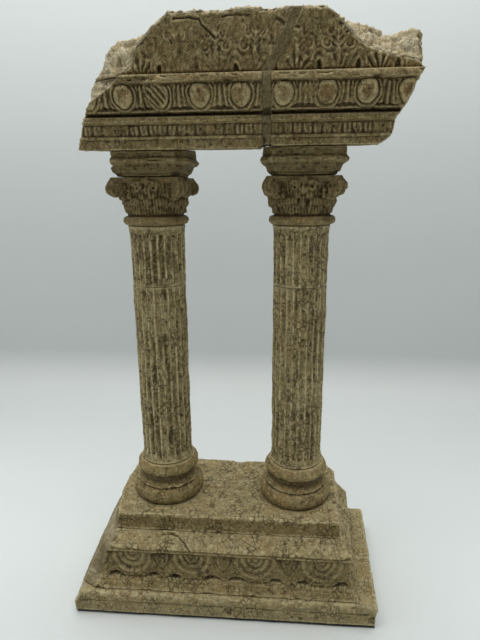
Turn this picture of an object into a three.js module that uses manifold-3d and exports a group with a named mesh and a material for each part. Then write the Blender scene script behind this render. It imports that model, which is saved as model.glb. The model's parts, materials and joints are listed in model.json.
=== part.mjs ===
// Miniature terrain ruin: two fluted columns on a stepped, broken base,
// carrying a broken entablature that was rejoined with a mortar seam.
// Units are millimetres, +Z is up, the carved front faces -Y.
// Origin: midway between the two column axes, on the plane the felt pad rests on.

import * as THREE from 'three';
import { mergeVertices } from 'three/addons/utils/BufferGeometryUtils.js';
import Module from 'manifold-3d';

const wasm = await Module();
wasm.setup();

// ---------------------------------------------------------------- dimensions
const GAP = 0.3;              // bed joint between neighbouring pieces
const COLUMN_X = 40;          // half of the spacing between the column axes
const FELT_T = 1.2;           // felt pad thickness

const SLAB_Z0 = FELT_T + GAP; // underside of the bottom slab
const SLAB_Z1 = 14.7;         // top of the bottom slab
const COURSE_Z1 = 46.5;       // top of the carved course
const PLINTH_Z1 = 56.5;       // top of the plinth, where the columns stand

const TORUS_R = 21.5;         // lower torus of a column base
const COLBASE_Z1 = 80.6;      // top of a column base
const SHAFT_R = 14.95;        // radius over the arrises of the fluting
const FLUTES = 24;
const FLUTE_DEPTH = 0.9;
const DRUM_JOINT_Z = 188.6;   // top of the lower drum
const SHAFT_Z1 = 221.6;       // top of the upper drum
const CAPITAL_Z1 = 246.6;     // top of the capital
const IMPOST_Z1_LEFT = 258.7;
const IMPOST_Z1_RIGHT = 259.8;

const ARCHITRAVE_Z1 = 273.4;
const OVOLO_Z1 = 290.7;
const ENTABLATURE_TOP = 320;
const SOFFIT_RISE = 1 / 15;   // the underside of the beam climbs this much for each mm towards the rear
const SOFFIT_Y0 = -24;        // measured from the front face

const ROD_R = 2.0;            // steel tie rod through each column
const ROD_BORE_R = 2.6;
const ROD_Z0 = 5.0;
const ROD_Z1 = 303.0;
const SPIGOT_R = 8.0;         // register spigot between column pieces
const SPIGOT_H = 2.2;
const PIN_R = 1.5;            // cross pins over the break
const PIN_BORE_R = 1.95;

const SEAM_HALF = 1.7;        // half thickness of the mortar seam
const DENTIL_PITCH = 4.6;
const EGG_PITCH = 18.4;
const SHELL_PITCH = 36.4;

// ------------------------------------------------------------------- helpers
function toSolid(geo) {
  const g = geo.clone();
  g.deleteAttribute('normal');
  g.deleteAttribute('uv');
  const m = mergeVertices(g, 1e-4);
  const idx = m.getIndex();
  return new wasm.Manifold(new wasm.Mesh({
    numProp: 3,
    vertProperties: new Float32Array(m.getAttribute('position').array),
    triVerts: new Uint32Array(idx.array),
  }));
}

function toGeometry(solid) {
  const mesh = solid.getMesh();
  const n = mesh.numProp;
  const pos = new Float32Array((mesh.vertProperties.length / n) * 3);
  for (let i = 0; i < pos.length / 3; i++) {
    pos[3 * i] = mesh.vertProperties[n * i];
    pos[3 * i + 1] = mesh.vertProperties[n * i + 1];
    pos[3 * i + 2] = mesh.vertProperties[n * i + 2];
  }
  const g = new THREE.BufferGeometry();
  g.setAttribute('position', new THREE.BufferAttribute(pos, 3));
  g.setIndex(new THREE.BufferAttribute(new Uint32Array(mesh.triVerts), 1));
  g.computeVertexNormals();
  return g;
}

// Closed body through a stack of rings with the same number of points.
// cap2d picks the two coordinates that the end caps are flat in.
function loft(rings, cap2d = (p) => new THREE.Vector2(p[0], p[1])) {
  const n = rings[0].length;
  const pos = [];
  for (const r of rings) for (const p of r) pos.push(...p);
  const tri = [];
  for (let k = 0; k + 1 < rings.length; k++) {
    for (let i = 0; i < n; i++) {
      const j = (i + 1) % n;
      const a = k * n + i, b = k * n + j, c = (k + 1) * n + j, d = (k + 1) * n + i;
      tri.push(a, b, c, a, c, d);
    }
  }
  const capTris = (r) => THREE.ShapeUtils.triangulateShape(r.map(cap2d), []);
  const last = (rings.length - 1) * n;
  const first = rings[0].map(cap2d);
  const ccw = THREE.ShapeUtils.area(first) > 0;
  for (const t of capTris(rings[0])) ccw ? tri.push(t[0], t[2], t[1]) : tri.push(t[0], t[1], t[2]);
  for (const t of capTris(rings[rings.length - 1])) {
    ccw ? tri.push(last + t[0], last + t[1], last + t[2]) : tri.push(last + t[0], last + t[2], last + t[1]);
  }
  // turn the body inside out when the signed volume says so
  let vol = 0;
  for (let i = 0; i < tri.length; i += 3) {
    const [a, b, c] = [tri[i] * 3, tri[i + 1] * 3, tri[i + 2] * 3];
    vol += pos[a] * (pos[b + 1] * pos[c + 2] - pos[b + 2] * pos[c + 1])
      - pos[a + 1] * (pos[b] * pos[c + 2] - pos[b + 2] * pos[c])
      + pos[a + 2] * (pos[b] * pos[c + 1] - pos[b + 1] * pos[c]);
  }
  if (vol < 0) for (let i = 0; i < tri.length; i += 3) [tri[i + 1], tri[i + 2]] = [tri[i + 2], tri[i + 1]];
  const g = new THREE.BufferGeometry();
  g.setAttribute('position', new THREE.Float32BufferAttribute(pos, 3));
  g.setIndex(tri);
  return g;
}

const loftSolid = (rings, cap) => toSolid(loft(rings, cap));

// Lathe about +Z; the profile is a list of [radius, z] that starts and ends on the axis.
function latheSolid(profile, segments = 32) {
  const g = new THREE.LatheGeometry(profile.map(([r, z]) => new THREE.Vector2(r, z)), segments);
  g.rotateX(Math.PI / 2);
  return toSolid(g);
}

function rodSolid(radius, length, axis, centre, segments = 12) {
  const g = new THREE.CylinderGeometry(radius, radius, length, segments);
  if (axis === 'z') g.rotateX(Math.PI / 2);
  if (axis === 'x') g.rotateZ(Math.PI / 2);
  g.translate(...centre);
  return toSolid(g);
}

const vertical = (r, z0, z1, x, seg = 10) => rodSolid(r, z1 - z0, 'z', [x, 0, (z0 + z1) / 2], seg);

function boxSolid(x0, x1, y0, y1, z0, z1) {
  const g = new THREE.BoxGeometry(x1 - x0, y1 - y0, z1 - z0);
  g.translate((x0 + x1) / 2, (y0 + y1) / 2, (z0 + z1) / 2);
  return toSolid(g);
}

function ellipsoid(rx, ry, rz, x, y, z, ws = 12, hs = 8) {
  const g = new THREE.SphereGeometry(1, ws, hs);
  g.rotateX(Math.PI / 2);
  g.scale(rx, ry, rz);
  g.translate(x, y, z);
  return toSolid(g);
}

const both = [[-COLUMN_X, 'left'], [COLUMN_X, 'right']];

// ----------------------------------------------------------------- materials
const stone = (hex, rough = 0.85) => new THREE.MeshStandardMaterial({ color: hex, roughness: rough, metalness: 0 });
const steel = () => new THREE.MeshStandardMaterial({ color: 0x9a9c9e, roughness: 0.35, metalness: 1 });
const STONE = 0x8c7f66;
const STONE_DARK = 0x75694f;
const MORTAR = 0x6f6c5d;

const root = new THREE.Group();
function add(name, solid, material) {
  const mesh = new THREE.Mesh(toGeometry(solid), material);
  mesh.name = name;
  root.add(mesh);
}

// ------------------------------------------------------------ base, in courses
// A plan ring: straight front, skewed right side, back, and a ragged left side
// listed from front to back. chip is how much of the rear right corner is missing.
function planRing(z, front, back, xRight, skew, left, chip = 0) {
  const pts = [];
  const xr = (y) => xRight + skew * (y + front);
  pts.push([xRight, -front, z]);
  pts.push([xr(0), 0, z]);
  if (chip > 0) {
    pts.push([xr(back - chip), back - chip, z]);
    pts.push([xr(back) - chip * 0.8, back, z]);
  } else {
    pts.push([xr(back - 0.6), back - 0.6, z]);
    pts.push([xr(back) - 0.6, back, z]);
  }
  pts.push([0, back, z]);
  for (let i = left.length - 1; i >= 0; i--) pts.push([left[i][0], left[i][1], z]);
  pts.push([0, -front, z]);
  return pts;
}

const SLAB_LEFT_LOW = (d) => [[-88.8, -d], [-89.2, -30], [-90.2, -14], [-89.6, 0], [-90.8, 14], [-90.4, 28], [-89.4, 38], [-88, d]];
const SLAB_LEFT_TOP = (d) => [[-86, -d], [-87.4, -31], [-88.2, -15], [-88.4, 0], [-88.8, 13], [-88.2, 27], [-87, 37], [-85.6, d]];
const slabRings = [
  planRing(SLAB_Z0, 44.9, 44.9, 85.2, 0.055, SLAB_LEFT_LOW(44.9)),
  planRing(3.0, 45.3, 45.3, 85.6, 0.055, SLAB_LEFT_LOW(45.3)),
  planRing(8.4, 45.3, 45.3, 85.6, 0.055, SLAB_LEFT_LOW(45.3)),
  planRing(9.2, 44.8, 44.8, 85.1, 0.055, SLAB_LEFT_TOP(44.8)),
  planRing(10.2, 45.4, 45.4, 85.8, 0.055, SLAB_LEFT_TOP(45.4)),
  planRing(12.6, 45.4, 45.4, 85.8, 0.055, SLAB_LEFT_TOP(45.4)),
  planRing(14.0, 44.6, 44.6, 85.6, 0.055, SLAB_LEFT_TOP(44.6)),
  planRing(SLAB_Z1, 43.4, 43.4, 85.0, 0.055, SLAB_LEFT_TOP(43.4)),
];
// the front edge runs slightly forward towards the left, the rear edge falls away at the right
const easePlan = (ring) => ring.map(([x, y, z]) => [x, y < 0 ? y * (1 + 0.00018 * (86 - x)) : y * (1 - 0.0008 * Math.max(0, x - 40)), z]);
let slab = loftSolid(slabRings.map(easePlan));
for (const [x] of both) slab = slab.subtract(vertical(ROD_BORE_R, ROD_Z0 - 0.4, SLAB_Z1 + 1, x));
add('base_slab', slab, stone(STONE));

const felt = loftSolid([0, FELT_T].map((z) => easePlan(planRing(z, 44.6, 44.6, 84.9, 0.055,
  [[-88.2, -44.6], [-88.8, -30], [-89.7, -14], [-89.2, 0], [-90.3, 14], [-90, 28], [-89, 38], [-87.6, 44.6]]))));
add('felt_pad', felt, new THREE.MeshStandardMaterial({ color: 0x1d1f1e, roughness: 1, metalness: 0 }));

const courseRings = [
  planRing(SLAB_Z1 + GAP, 42.4, 42.4, 75.7, 0.07, [[-77, -42.4], [-85.3, -38], [-86.8, -26], [-87.5, -12], [-87.9, 4], [-87.8, 20], [-86.4, 34], [-83, 42.4]], 6),
  planRing(17.2, 41.6, 41.6, 74.9, 0.07, [[-76, -41.6], [-84.5, -36.6], [-85.9, -24.4], [-86.6, -10], [-87, 5], [-86.8, 20], [-85.4, 33.6], [-81.6, 41.6]], 7),
  planRing(19.6, 40.4, 40.4, 72.6, 0.07, [[-75, -40.4], [-83.5, -35], [-85, -22.5], [-85.8, -8.5], [-86.2, 6], [-86, 20], [-84.5, 33], [-80, 40.4]], 8),
  planRing(21.0, 39.1, 39.1, 70.9, 0.07, [[-74.4, -39.1], [-82.8, -34], [-84.4, -22], [-85.2, -8], [-85.4, 6], [-85.2, 20], [-83.8, 32], [-79.4, 39.1]], 8.5),
  planRing(25.0, 39.0, 39.0, 70.6, 0.07, [[-73.1, -39], [-81, -32.6], [-82.6, -22], [-83.6, -8], [-83.8, 5], [-83.5, 20], [-81.6, 32], [-78, 39]], 9.5),
  planRing(33.0, 39.1, 39.1, 70.5, 0.07, [[-71.6, -39.1], [-77.2, -32.4], [-78.9, -22.4], [-79.6, -9], [-80, 5], [-80, 20], [-78.5, 31.6], [-75.5, 39.1]], 12.5),
  planRing(38.2, 39.3, 39.3, 70.5, 0.07, [[-69.5, -39.3], [-74.6, -33.2], [-76.2, -23.6], [-77.1, -10], [-77.4, 5], [-77.6, 20], [-76, 31.4], [-73, 39.3]], 14),
  planRing(38.9, 40.2, 40.2, 71.3, 0.07, [[-68.6, -40.2], [-74, -33.6], [-75.8, -24], [-76.8, -10.6], [-77, 4], [-77, 19], [-75.6, 31], [-72.6, 40.2]], 16),
  planRing(41.6, 40.2, 40.2, 71.3, 0.07, [[-66.6, -40.2], [-72, -35], [-73.8, -26], [-74.8, -12], [-75.2, 2], [-75.4, 18], [-74.4, 31], [-71.4, 40.2]], 17),
  planRing(42.4, 39.2, 39.2, 70.4, 0.07, [[-66.4, -39.2], [-71.6, -34], [-73.6, -25], [-74.6, -11], [-75, 3], [-75, 18], [-74, 30], [-71, 39.2]], 17),
  planRing(COURSE_Z1, 30.6, 33.4, 65.8, 0.05, [[-66, -30.6], [-68.8, -26], [-71.2, -17], [-73, -4], [-73.2, 8], [-72.8, 19], [-71.8, 28], [-69, 33.4]], 6),
];
let course = loftSolid(courseRings);
// fan shells standing in the frieze, front and rear
for (let i = 0; i < 4; i++) {
  const x = -54.6 + SHELL_PITCH * i;
  for (const s of [-1, 1]) {
    const shell = ellipsoid(12.5, 2.4, 10.5, x, s * 38.6, 31, 10, 6);
    course = course.add(shell.intersect(boxSolid(x - 14, x + 14, -60, 60, 22.4, 38.4)));
  }
}
for (const [x] of both) course = course.subtract(vertical(ROD_BORE_R, SLAB_Z1 - 1, COURSE_Z1 + 1, x));
add('base_carved_course', course, stone(STONE_DARK));

const plinthRings = [
  planRing(COURSE_Z1 + GAP, 29.7, 32.6, 64.8, 0.045, [[-65.4, -29.7], [-68, -24], [-70.4, -14], [-71.9, -3], [-71.5, 8], [-70.9, 18], [-70, 27], [-68.6, 34]], 6),
  planRing(51.0, 29.5, 32.6, 64.6, 0.045, [[-65.2, -29.5], [-67.4, -24], [-69.4, -14], [-71, -4], [-70.6, 6], [-70.2, 17], [-69.4, 27], [-68.2, 34.6]], 6.5),
  planRing(55.6, 29.6, 32.6, 64.7, 0.045, [[-64.7, -29.6], [-66.9, -24], [-67.9, -13], [-69.9, -5], [-69.8, 3], [-69, 15], [-68.7, 27], [-67.8, 35]], 7),
  planRing(PLINTH_Z1, 28.9, 31.8, 64.0, 0.045, [[-64.1, -28.9], [-66.3, -23.6], [-67.3, -13], [-69.1, -5], [-69.2, 3], [-68.4, 15], [-68, 26.6], [-67, 34]], 7.5),
];
let plinth = loftSolid(plinthRings);
for (const [x] of both) {
  plinth = plinth.subtract(vertical(ROD_BORE_R, COURSE_Z1 - 1, PLINTH_Z1 + 1, x));
  plinth = plinth.subtract(vertical(SPIGOT_R + 0.8, PLINTH_Z1 - SPIGOT_H - GAP, PLINTH_Z1 + 1, x, 12));
}
add('base_plinth', plinth, stone(STONE));

// ---------------------------------------------------------------- columns
const spigot = (x, z) => vertical(SPIGOT_R, z - 0.5, z + SPIGOT_H, x, 12);        // stands up from z
const socket = (x, z) => vertical(SPIGOT_R + 0.8, z - 1, z + SPIGOT_H + 2 * GAP, x, 12); // sunk up from the bed at z
const rodBore = (x, z0, z1) => vertical(ROD_BORE_R, z0 - 1, z1 + 1, x);

const COLBASE_Z0 = PLINTH_Z1 + GAP;
const baseProfile = [
  [0, COLBASE_Z0], [20.5, COLBASE_Z0], [21.4, 58.8], [TORUS_R, 61.4], [20.8, 64.4], [19.0, 66.4],
  [18.8, 67.4], [17.0, 68.3], [16.2, 70.2], [16.7, 72.4], [17.7, 74.0],
  [18.5, 75.6], [18.4, 77.6], [17.3, 79.4], [16.6, COLBASE_Z1], [0, COLBASE_Z1],
];

// Star-shaped ring of the fluting: an arris at radius r, a groove at radius r - depth.
function fluteRing(x, z, r, depth) {
  const pts = [];
  const n = FLUTES * 2;
  for (let i = 0; i < n; i++) {
    const a = (2 * Math.PI * i) / n;
    const rr = i % 2 ? r - depth : r;
    pts.push([x + rr * Math.cos(a), rr * Math.sin(a), z]);
  }
  return pts;
}

const SHAFT_Z0 = COLBASE_Z1 + GAP;
const UPPER_Z0 = DRUM_JOINT_Z + GAP;
const CAPITAL_Z0 = SHAFT_Z1 + GAP;
const IMPOST_Z0 = CAPITAL_Z1 + GAP;

const capitalProfile = [
  [0, CAPITAL_Z0], [16.6, CAPITAL_Z0], [17.9, 223.4], [17.8, 225.2], [16.2, 226.7], [15.4, 227.2],
  [16.0, 233], [17.4, 239], [19.2, 243.5], [19.2, 245.2], [0, 245.2],
];

function capital(x) {
  let body = latheSolid(capitalProfile, 20).translate(x, 0, 0);
  // concave-sided abacus plate whose horns stand over the volutes
  const s = new THREE.Shape();
  const pts = [];
  for (let q = 0; q < 4; q++) {
    const a = (Math.PI / 2) * q;
    const c = Math.cos(a), d = Math.sin(a);
    for (const [px, py] of [[16.8, 0], [17.6, 9.0], [19.8, 16.8], [16.8, 19.8], [9.0, 17.6]]) pts.push([px * c - py * d, px * d + py * c]);
  }
  s.moveTo(...pts[0]);
  for (const p of pts.slice(1)) s.lineTo(...p);
  s.closePath();
  const plate = new THREE.ExtrudeGeometry(s, { depth: 2.6, bevelEnabled: false });
  plate.translate(x, 0, 243.8);
  body = body.add(toSolid(plate));
  for (let q = 0; q < 4; q++) {
    const a = Math.PI / 4 + (Math.PI / 2) * q;
    const scroll = new THREE.CylinderGeometry(4.6, 4.6, 5.2, 10);
    scroll.translate(23.4, 0, 241.2);   // its axis lies level, square to the diagonal
    const arm = new THREE.BoxGeometry(14, 4.2, 5.4);
    arm.translate(17.4, 0, 241.4);
    for (const g of [scroll, arm]) {
      g.rotateZ(a);
      g.translate(x, 0, 0);
      body = body.add(toSolid(g));
    }
  }
  // two rows of acanthus leaves around the bell
  for (let row = 0; row < 2; row++) {
    for (let i = 0; i < 8; i++) {
      const a = (Math.PI / 4) * i + (row ? 0 : Math.PI / 8);
      const leaf = new THREE.OctahedronGeometry(1, 0);
      leaf.scale(row ? 3.0 : 2.8, row ? 5.0 : 5.4, row ? 5.0 : 5.4);
      leaf.translate(row ? 16.6 : 15.6, 0, row ? 238.6 : 231.6);
      leaf.rotateZ(a);
      leaf.translate(x, 0, 0);
      body = body.add(toSolid(leaf));
    }
  }
  return body;
}

// Chamfered square ring for the impost block.
function octRing(x, hw, ch, z) {
  const p = [[hw, hw - ch], [hw - ch, hw], [-(hw - ch), hw], [-hw, hw - ch], [-hw, -(hw - ch)], [-(hw - ch), -hw], [hw - ch, -hw], [hw, -(hw - ch)]];
  return p.map(([a, b]) => [x + a, b, z]);
}

for (const [x, side] of both) {
  let base = latheSolid(baseProfile, 28).translate(x, 0, 0);
  base = base.add(vertical(SPIGOT_R, PLINTH_Z1 - SPIGOT_H, COLBASE_Z0 + 0.5, x, 12)).add(spigot(x, COLBASE_Z1));
  add(`column_base_${side}`, base.subtract(rodBore(x, PLINTH_Z1 - SPIGOT_H, COLBASE_Z1 + SPIGOT_H)), stone(STONE));

  let lower = loftSolid([
    fluteRing(x, SHAFT_Z0, 15.9, 0.05), fluteRing(x, 82.2, 15.3, 0.05), fluteRing(x, 83.8, SHAFT_R, 0.05),
    fluteRing(x, 86.4, SHAFT_R, FLUTE_DEPTH), fluteRing(x, DRUM_JOINT_Z, SHAFT_R + 0.1, FLUTE_DEPTH),
  ]);
  lower = lower.add(spigot(x, DRUM_JOINT_Z)).subtract(socket(x, SHAFT_Z0)).subtract(rodBore(x, SHAFT_Z0, DRUM_JOINT_Z + SPIGOT_H));
  add(`shaft_lower_${side}`, lower, stone(STONE));

  let upper = loftSolid([
    fluteRing(x, UPPER_Z0, SHAFT_R + 0.1, FLUTE_DEPTH), fluteRing(x, 216.6, SHAFT_R + 0.15, FLUTE_DEPTH),
    fluteRing(x, 218.6, SHAFT_R + 0.15, 0.05), fluteRing(x, SHAFT_Z1, 15.8, 0.05),
  ]);
  upper = upper.add(spigot(x, SHAFT_Z1)).subtract(socket(x, UPPER_Z0)).subtract(rodBore(x, UPPER_Z0, SHAFT_Z1 + SPIGOT_H));
  add(`shaft_upper_${side}`, upper, stone(STONE));

  let cap = capital(x).add(spigot(x, CAPITAL_Z1)).subtract(socket(x, CAPITAL_Z0)).subtract(rodBore(x, CAPITAL_Z0, CAPITAL_Z1 + SPIGOT_H));
  add(`capital_${side}`, cap, stone(STONE_DARK));

  const zTop = side === 'left' ? IMPOST_Z1_LEFT : IMPOST_Z1_RIGHT;
  let impost = loftSolid([
    octRing(x, 16.6, 4, IMPOST_Z0), octRing(x, 16.9, 4, 248.2), octRing(x, 18.2, 4.4, 248.5), octRing(x, 18.9, 4.6, 250.6),
    octRing(x, 19.6, 5, 252.2), octRing(x, 21.2, 5.2, 252.8), octRing(x, 22.0, 5.5, 253.6), octRing(x, 22.0, 5.5, 255.0),
    octRing(x, 21.0, 5.2, 255.9), octRing(x, 20.9, 5.2, zTop).map(([a, b, c]) => [a, b, c + SOFFIT_RISE * (b - SOFFIT_Y0)]),
  ]);
  impost = impost.subtract(socket(x, IMPOST_Z0)).subtract(rodBore(x, IMPOST_Z0, zTop + 4));
  // the outer cheek of the left block is broken back
  if (side === 'left') impost = impost.subtract(boxSolid(-70, -57.4, -40, 40, 251.8, 270));
  add(`impost_block_${side}`, impost, stone(STONE_DARK));

  add(`tie_rod_${side}`, vertical(ROD_R, ROD_Z0, ROD_Z1, x, 12), steel());
}

// ------------------------------------------------------------- entablature
// Outline of the broken mass, seen from the front, as [x, z] at five depths.
const OUTLINE_Y = [-40, -30.5, -18, -2, 12, 30];
const OUTLINE = [
  // front            y -18            y -2            y 12            rear
  [[-71.4, 250], [-71.8, 250], [-72.0, 250], [-69.8, 250], [-67.5, 250]],
  [[-71.2, 259], [-72.0, 259.5], [-72.4, 261], [-70.6, 260], [-67.5, 259.5]],
  [[-68.8, 268], [-70.0, 269], [-71.6, 269], [-70.2, 268], [-66.5, 270]],
  [[-66.4, 273.5], [-67.0, 276], [-69.0, 277], [-68.6, 277], [-64.5, 278]],
  [[-62.2, 280], [-65.2, 283], [-68.2, 285], [-67.4, 286], [-63.0, 286]],
  [[-56.2, 283.2], [-64.2, 287.5], [-68.4, 291], [-67.2, 292], [-61.5, 292]],
  [[-47.2, 289.3], [-62.5, 291.8], [-66.6, 296], [-65.6, 297], [-59.2, 297]],
  [[-40.8, 292.5], [-58.9, 296], [-62.4, 300.6], [-60.6, 301.4], [-55.0, 301.6]],
  [[-38.6, 298.5], [-57.2, 300.5], [-59.2, 305], [-57.4, 305.4], [-51.4, 305]],
  [[-37.3, 303.6], [-54.4, 305.9], [-54.9, 308.8], [-52.2, 308.3], [-46.2, 307.5]],
  [[-34.5, 306.5], [-48.9, 308.7], [-48.6, 311.6], [-43.8, 309.8], [-39.0, 309]],
  [[-30.9, 309.6], [-39.6, 309.5], [-39.6, 312.8], [-35.8, 311.4], [-31.0, 309.8]],
  [[-26.5, 313.2], [-32.8, 313.6], [-31.8, 315.2], [-27.8, 313.4], [-24.0, 311.0]],
  [[-23.7, 316.2], [-25.6, 317.8], [-24.2, 318.6], [-20.4, 316.6], [-17.0, 312.5]],
  [[-8.0, 316.8], [-9.7, 319.4], [-9.0, ENTABLATURE_TOP], [-8.0, 318.5], [-6.0, 312]],
  [[1.5, 316.0], [0.6, 318.7], [1.0, 319.5], [2.0, 319], [3.0, 313.5]],
  [[11.8, 317.0], [11.0, ENTABLATURE_TOP], [10.5, ENTABLATURE_TOP], [11.0, 318], [12.0, 312]],
  [[20.6, 316.3], [20.0, 319.2], [20.0, 319.5], [20.0, 317], [20.0, 311]],
  [[29.3, 316.6], [29.3, 319.4], [29.5, 319.4], [29.5, 317], [29.0, 311]],
  [[36.6, 317.2], [37.0, ENTABLATURE_TOP], [37.5, ENTABLATURE_TOP], [38.0, 318.5], [38.0, 312.5]],
  [[47.2, 316.8], [47.4, ENTABLATURE_TOP], [47.6, ENTABLATURE_TOP], [48.0, 317], [48.0, 311]],
  [[54.6, 310.6], [55.4, 313.4], [56.0, 314.6], [57.0, 313.6], [56.0, 309.5]],
  [[61.2, 303.6], [61.8, 313.0], [62.5, 314.2], [63.0, 313], [62.0, 309]],
  [[67.8, 299.0], [68.8, 311.2], [69.0, 312.4], [69.0, 311], [67.0, 308]],
  [[74.2, 296.0], [76.6, 308.0], [76.6, 309.4], [75.0, 308.4], [72.0, 305.5]],
  [[81.0, 294.3], [82.4, 309.4], [81.6, 310.6], [80.0, 307.2], [76.0, 303.5]],
  [[87.4, 292.8], [87.4, 310.0], [86.2, 310.6], [84.0, 306.6], [80.0, 302]],
  [[90.8, 291.2], [91.6, 307.6], [91.0, 308.2], [88.4, 304.5], [83.8, 300]],
  [[90.0, 288.6], [90.8, 298.5], [90.4, 300], [88.6, 298], [84.8, 295]],
  [[88.2, 285.6], [91.0, 290.0], [90.4, 291], [87.5, 290], [84.5, 289]],
  [[86.8, 281.6], [89.0, 283.0], [88.2, 284.5], [86.0, 284], [82.0, 283]],
  [[83.4, 274.8], [85.6, 277.0], [85.6, 278], [83.6, 277], [80.0, 276]],
  [[80.8, 271.0], [82.2, 272.0], [83.0, 272], [81.4, 271], [78.5, 270]],
  [[79.2, 263.4], [80.9, 265.0], [81.6, 266], [79.7, 265.5], [76.5, 265]],
  [[74.0, 259.8], [75.8, 260.8], [77.2, 261], [75.2, 261], [71.8, 260.5]],
  [[73.8, 250], [75.6, 250], [77.2, 250], [75.0, 250], [71.8, 250]],
];
const mass = loftSolid(
  OUTLINE_Y.map((y, k) => OUTLINE.map((row) => { const p = row[Math.max(0, k - 1)]; return [p[0], y, p[1]]; })),
  (p) => new THREE.Vector2(p[0], p[2]),
);

// The break: its centre line climbs straight, then leans to the right through the top course.
const BREAK_LINE = [[21.6, 250], [21.5, 272], [21.6, 291.5], [25.1, 297], [29.5, 305], [34.6, 315], [36.6, 324]];
function halfMask(sign) {
  const edge = BREAK_LINE.map(([x, z]) => [x + sign * (SEAM_HALF + GAP), z]);
  const far = sign * 120;
  const poly = sign < 0 ? [[far, 250], ...edge, [far, 324]] : [...edge, [far, 324], [far, 250]];
  return loftSolid([-60, 60].map((y) => poly.map(([x, z]) => [x, y, z])), (p) => new THREE.Vector2(p[0], p[2]));
}
const masks = { left: halfMask(-1), right: halfMask(1) };

// A course is a prism along X of a front profile ([y, z], bottom to top) mirrored to the rear.
function coursePrism(front) {
  const prof = [...front, ...front.slice().reverse().map(([y, z]) => [-y, z])];
  return loftSolid([-100, 100].map((x) => prof.map(([y, z]) => [x, y, z])), (p) => new THREE.Vector2(p[1], p[2]));
}
const architraveProfile = (z0) => [
  [-24.0, z0], [-24.0, 263.4], [-24.8, 263.8], [-24.8, 264.8], [-23.4, 265.1], [-23.4, 270.3], [-25.4, 270.7], [-26.8, 271.4], [-26.8, ARCHITRAVE_Z1],
];
const ovoloProfile = [
  [-23.2, ARCHITRAVE_Z1 + GAP], [-23.2, 275.1], [-26.0, 275.7], [-28.4, 278.4], [-30.2, 282.2], [-31.0, 285.5],
  [-30.4, 286.1], [-30.4, 287.0], [-33.2, 287.4], [-33.2, 290.2], [-32.6, OVOLO_Z1],
];
const friezeProfile = [[-27.6, OVOLO_Z1 + GAP], [-27.6, 294.5], [-28.2, 301], [-29.0, 306], [-29.8, 310], [-30.2, 313], [-30.2, 324]];

// Everything below the sloping underside of the beam, between two stations along X.
function underCut(x0, x1, z0) {
  const at = (y) => z0 + SOFFIT_RISE * (y - SOFFIT_Y0);
  const poly = [[-45, 240], [-45, at(-45)], [45, at(45)], [45, 240]];
  return loftSolid([x0, x1].map((x) => poly.map(([y, z]) => [x, y, z])), (p) => new THREE.Vector2(p[1], p[2]));
}

for (const [x, side] of both) {
  const z0 = side === 'left' ? IMPOST_Z1_LEFT + GAP : IMPOST_Z1_RIGHT + GAP;
  const mask = masks[side];

  let arch = coursePrism(architraveProfile(z0 - 1));
  for (let i = 0; i < 36; i++) {
    const dx = -79.4 + DENTIL_PITCH * i;
    if (side === 'left' ? dx > 24 : dx < 18) continue;
    for (const s of [-1, 1]) {
      arch = arch.add(boxSolid(dx - 1.6, dx + 1.6, Math.min(s * 22, s * 24.9), Math.max(s * 22, s * 24.9), 265.5, 269.9));
    }
  }
  arch = arch.intersect(mass).intersect(mask).subtract(rodBore(x, z0, ARCHITRAVE_Z1)).subtract(underCut(-100, 100, z0));
  for (const y of [-10, 10]) arch = arch.subtract(rodSolid(PIN_BORE_R, 24, 'x', [21.5, y, 267], 12));
  // the left block's end also rests on the edge of the right impost, which stands a little higher
  if (side === 'left') arch = arch.subtract(underCut(17.5, 24, IMPOST_Z1_RIGHT + GAP));
  add(`architrave_${side}`, arch, stone(STONE));

  let ovolo = coursePrism(ovoloProfile);
  for (let i = 0; i < 9; i++) {
    const ex = -64.3 + EGG_PITCH * i;
    if (side === 'left' ? ex > 30 : ex < 14) continue;
    for (const s of [-1, 1]) ovolo = ovolo.add(ellipsoid(6.2, 5.0, 5.6, ex, s * 26.6, 280.8, 8, 6));
  }
  ovolo = ovolo.intersect(mass).intersect(mask).subtract(rodBore(x, ARCHITRAVE_Z1, OVOLO_Z1));
  ovolo = ovolo.subtract(rodSolid(PIN_BORE_R, 24, 'x', [21.5, 0, 285], 12));
  add(`egg_and_dart_course_${side}`, ovolo, stone(STONE));

  let frieze = coursePrism(friezeProfile);
  for (let i = 0; i < 8; i++) {
    const lx = -46 + 18.1 * i;
    if (side === 'left' ? lx > 34 : lx < 14) continue;
    for (const s of [-1, 1]) frieze = frieze.add(ellipsoid(6.6, 3.4, 6.6, lx, s * 26.4, 300.3, 8, 6));
  }
  frieze = frieze.intersect(mass).intersect(mask).subtract(vertical(ROD_BORE_R, OVOLO_Z1 - 1, ROD_Z1 + 0.5, x));
  add(`acanthus_course_${side}`, frieze, stone(STONE));
}

// Mortar that fills the break, pierced by the three cross pins.
const seamPoly = (() => {
  const line = BREAK_LINE.map(([x, z]) => [x, z]).filter(([, z]) => z < 316);
  const left = line.map(([x, z]) => [x - SEAM_HALF, z]);
  const right = line.map(([x, z]) => [x + SEAM_HALF, z]).reverse();
  return [...left, ...right];
})();
let mortar = loftSolid([-22.6, 22.6].map((y) => seamPoly.map(([x, z]) => [x, y, z])), (p) => new THREE.Vector2(p[0], p[2]));
mortar = mortar.intersect(mass).subtract(underCut(0, 40, IMPOST_Z1_RIGHT + GAP + 0.5));
for (const y of [-10, 10]) mortar = mortar.subtract(rodSolid(PIN_BORE_R, 24, 'x', [21.5, y, 267], 12));
mortar = mortar.subtract(rodSolid(PIN_BORE_R, 24, 'x', [21.5, 0, 285], 12));
add('mortar_seam', mortar, stone(MORTAR, 0.95));

for (const [name, y, z] of [['seam_pin_front', -10, 267], ['seam_pin_rear', 10, 267], ['seam_pin_top', 0, 285]]) {
  add(name, rodSolid(PIN_R, 23, 'x', [21.5, y, z], 12), steel());
}

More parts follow.
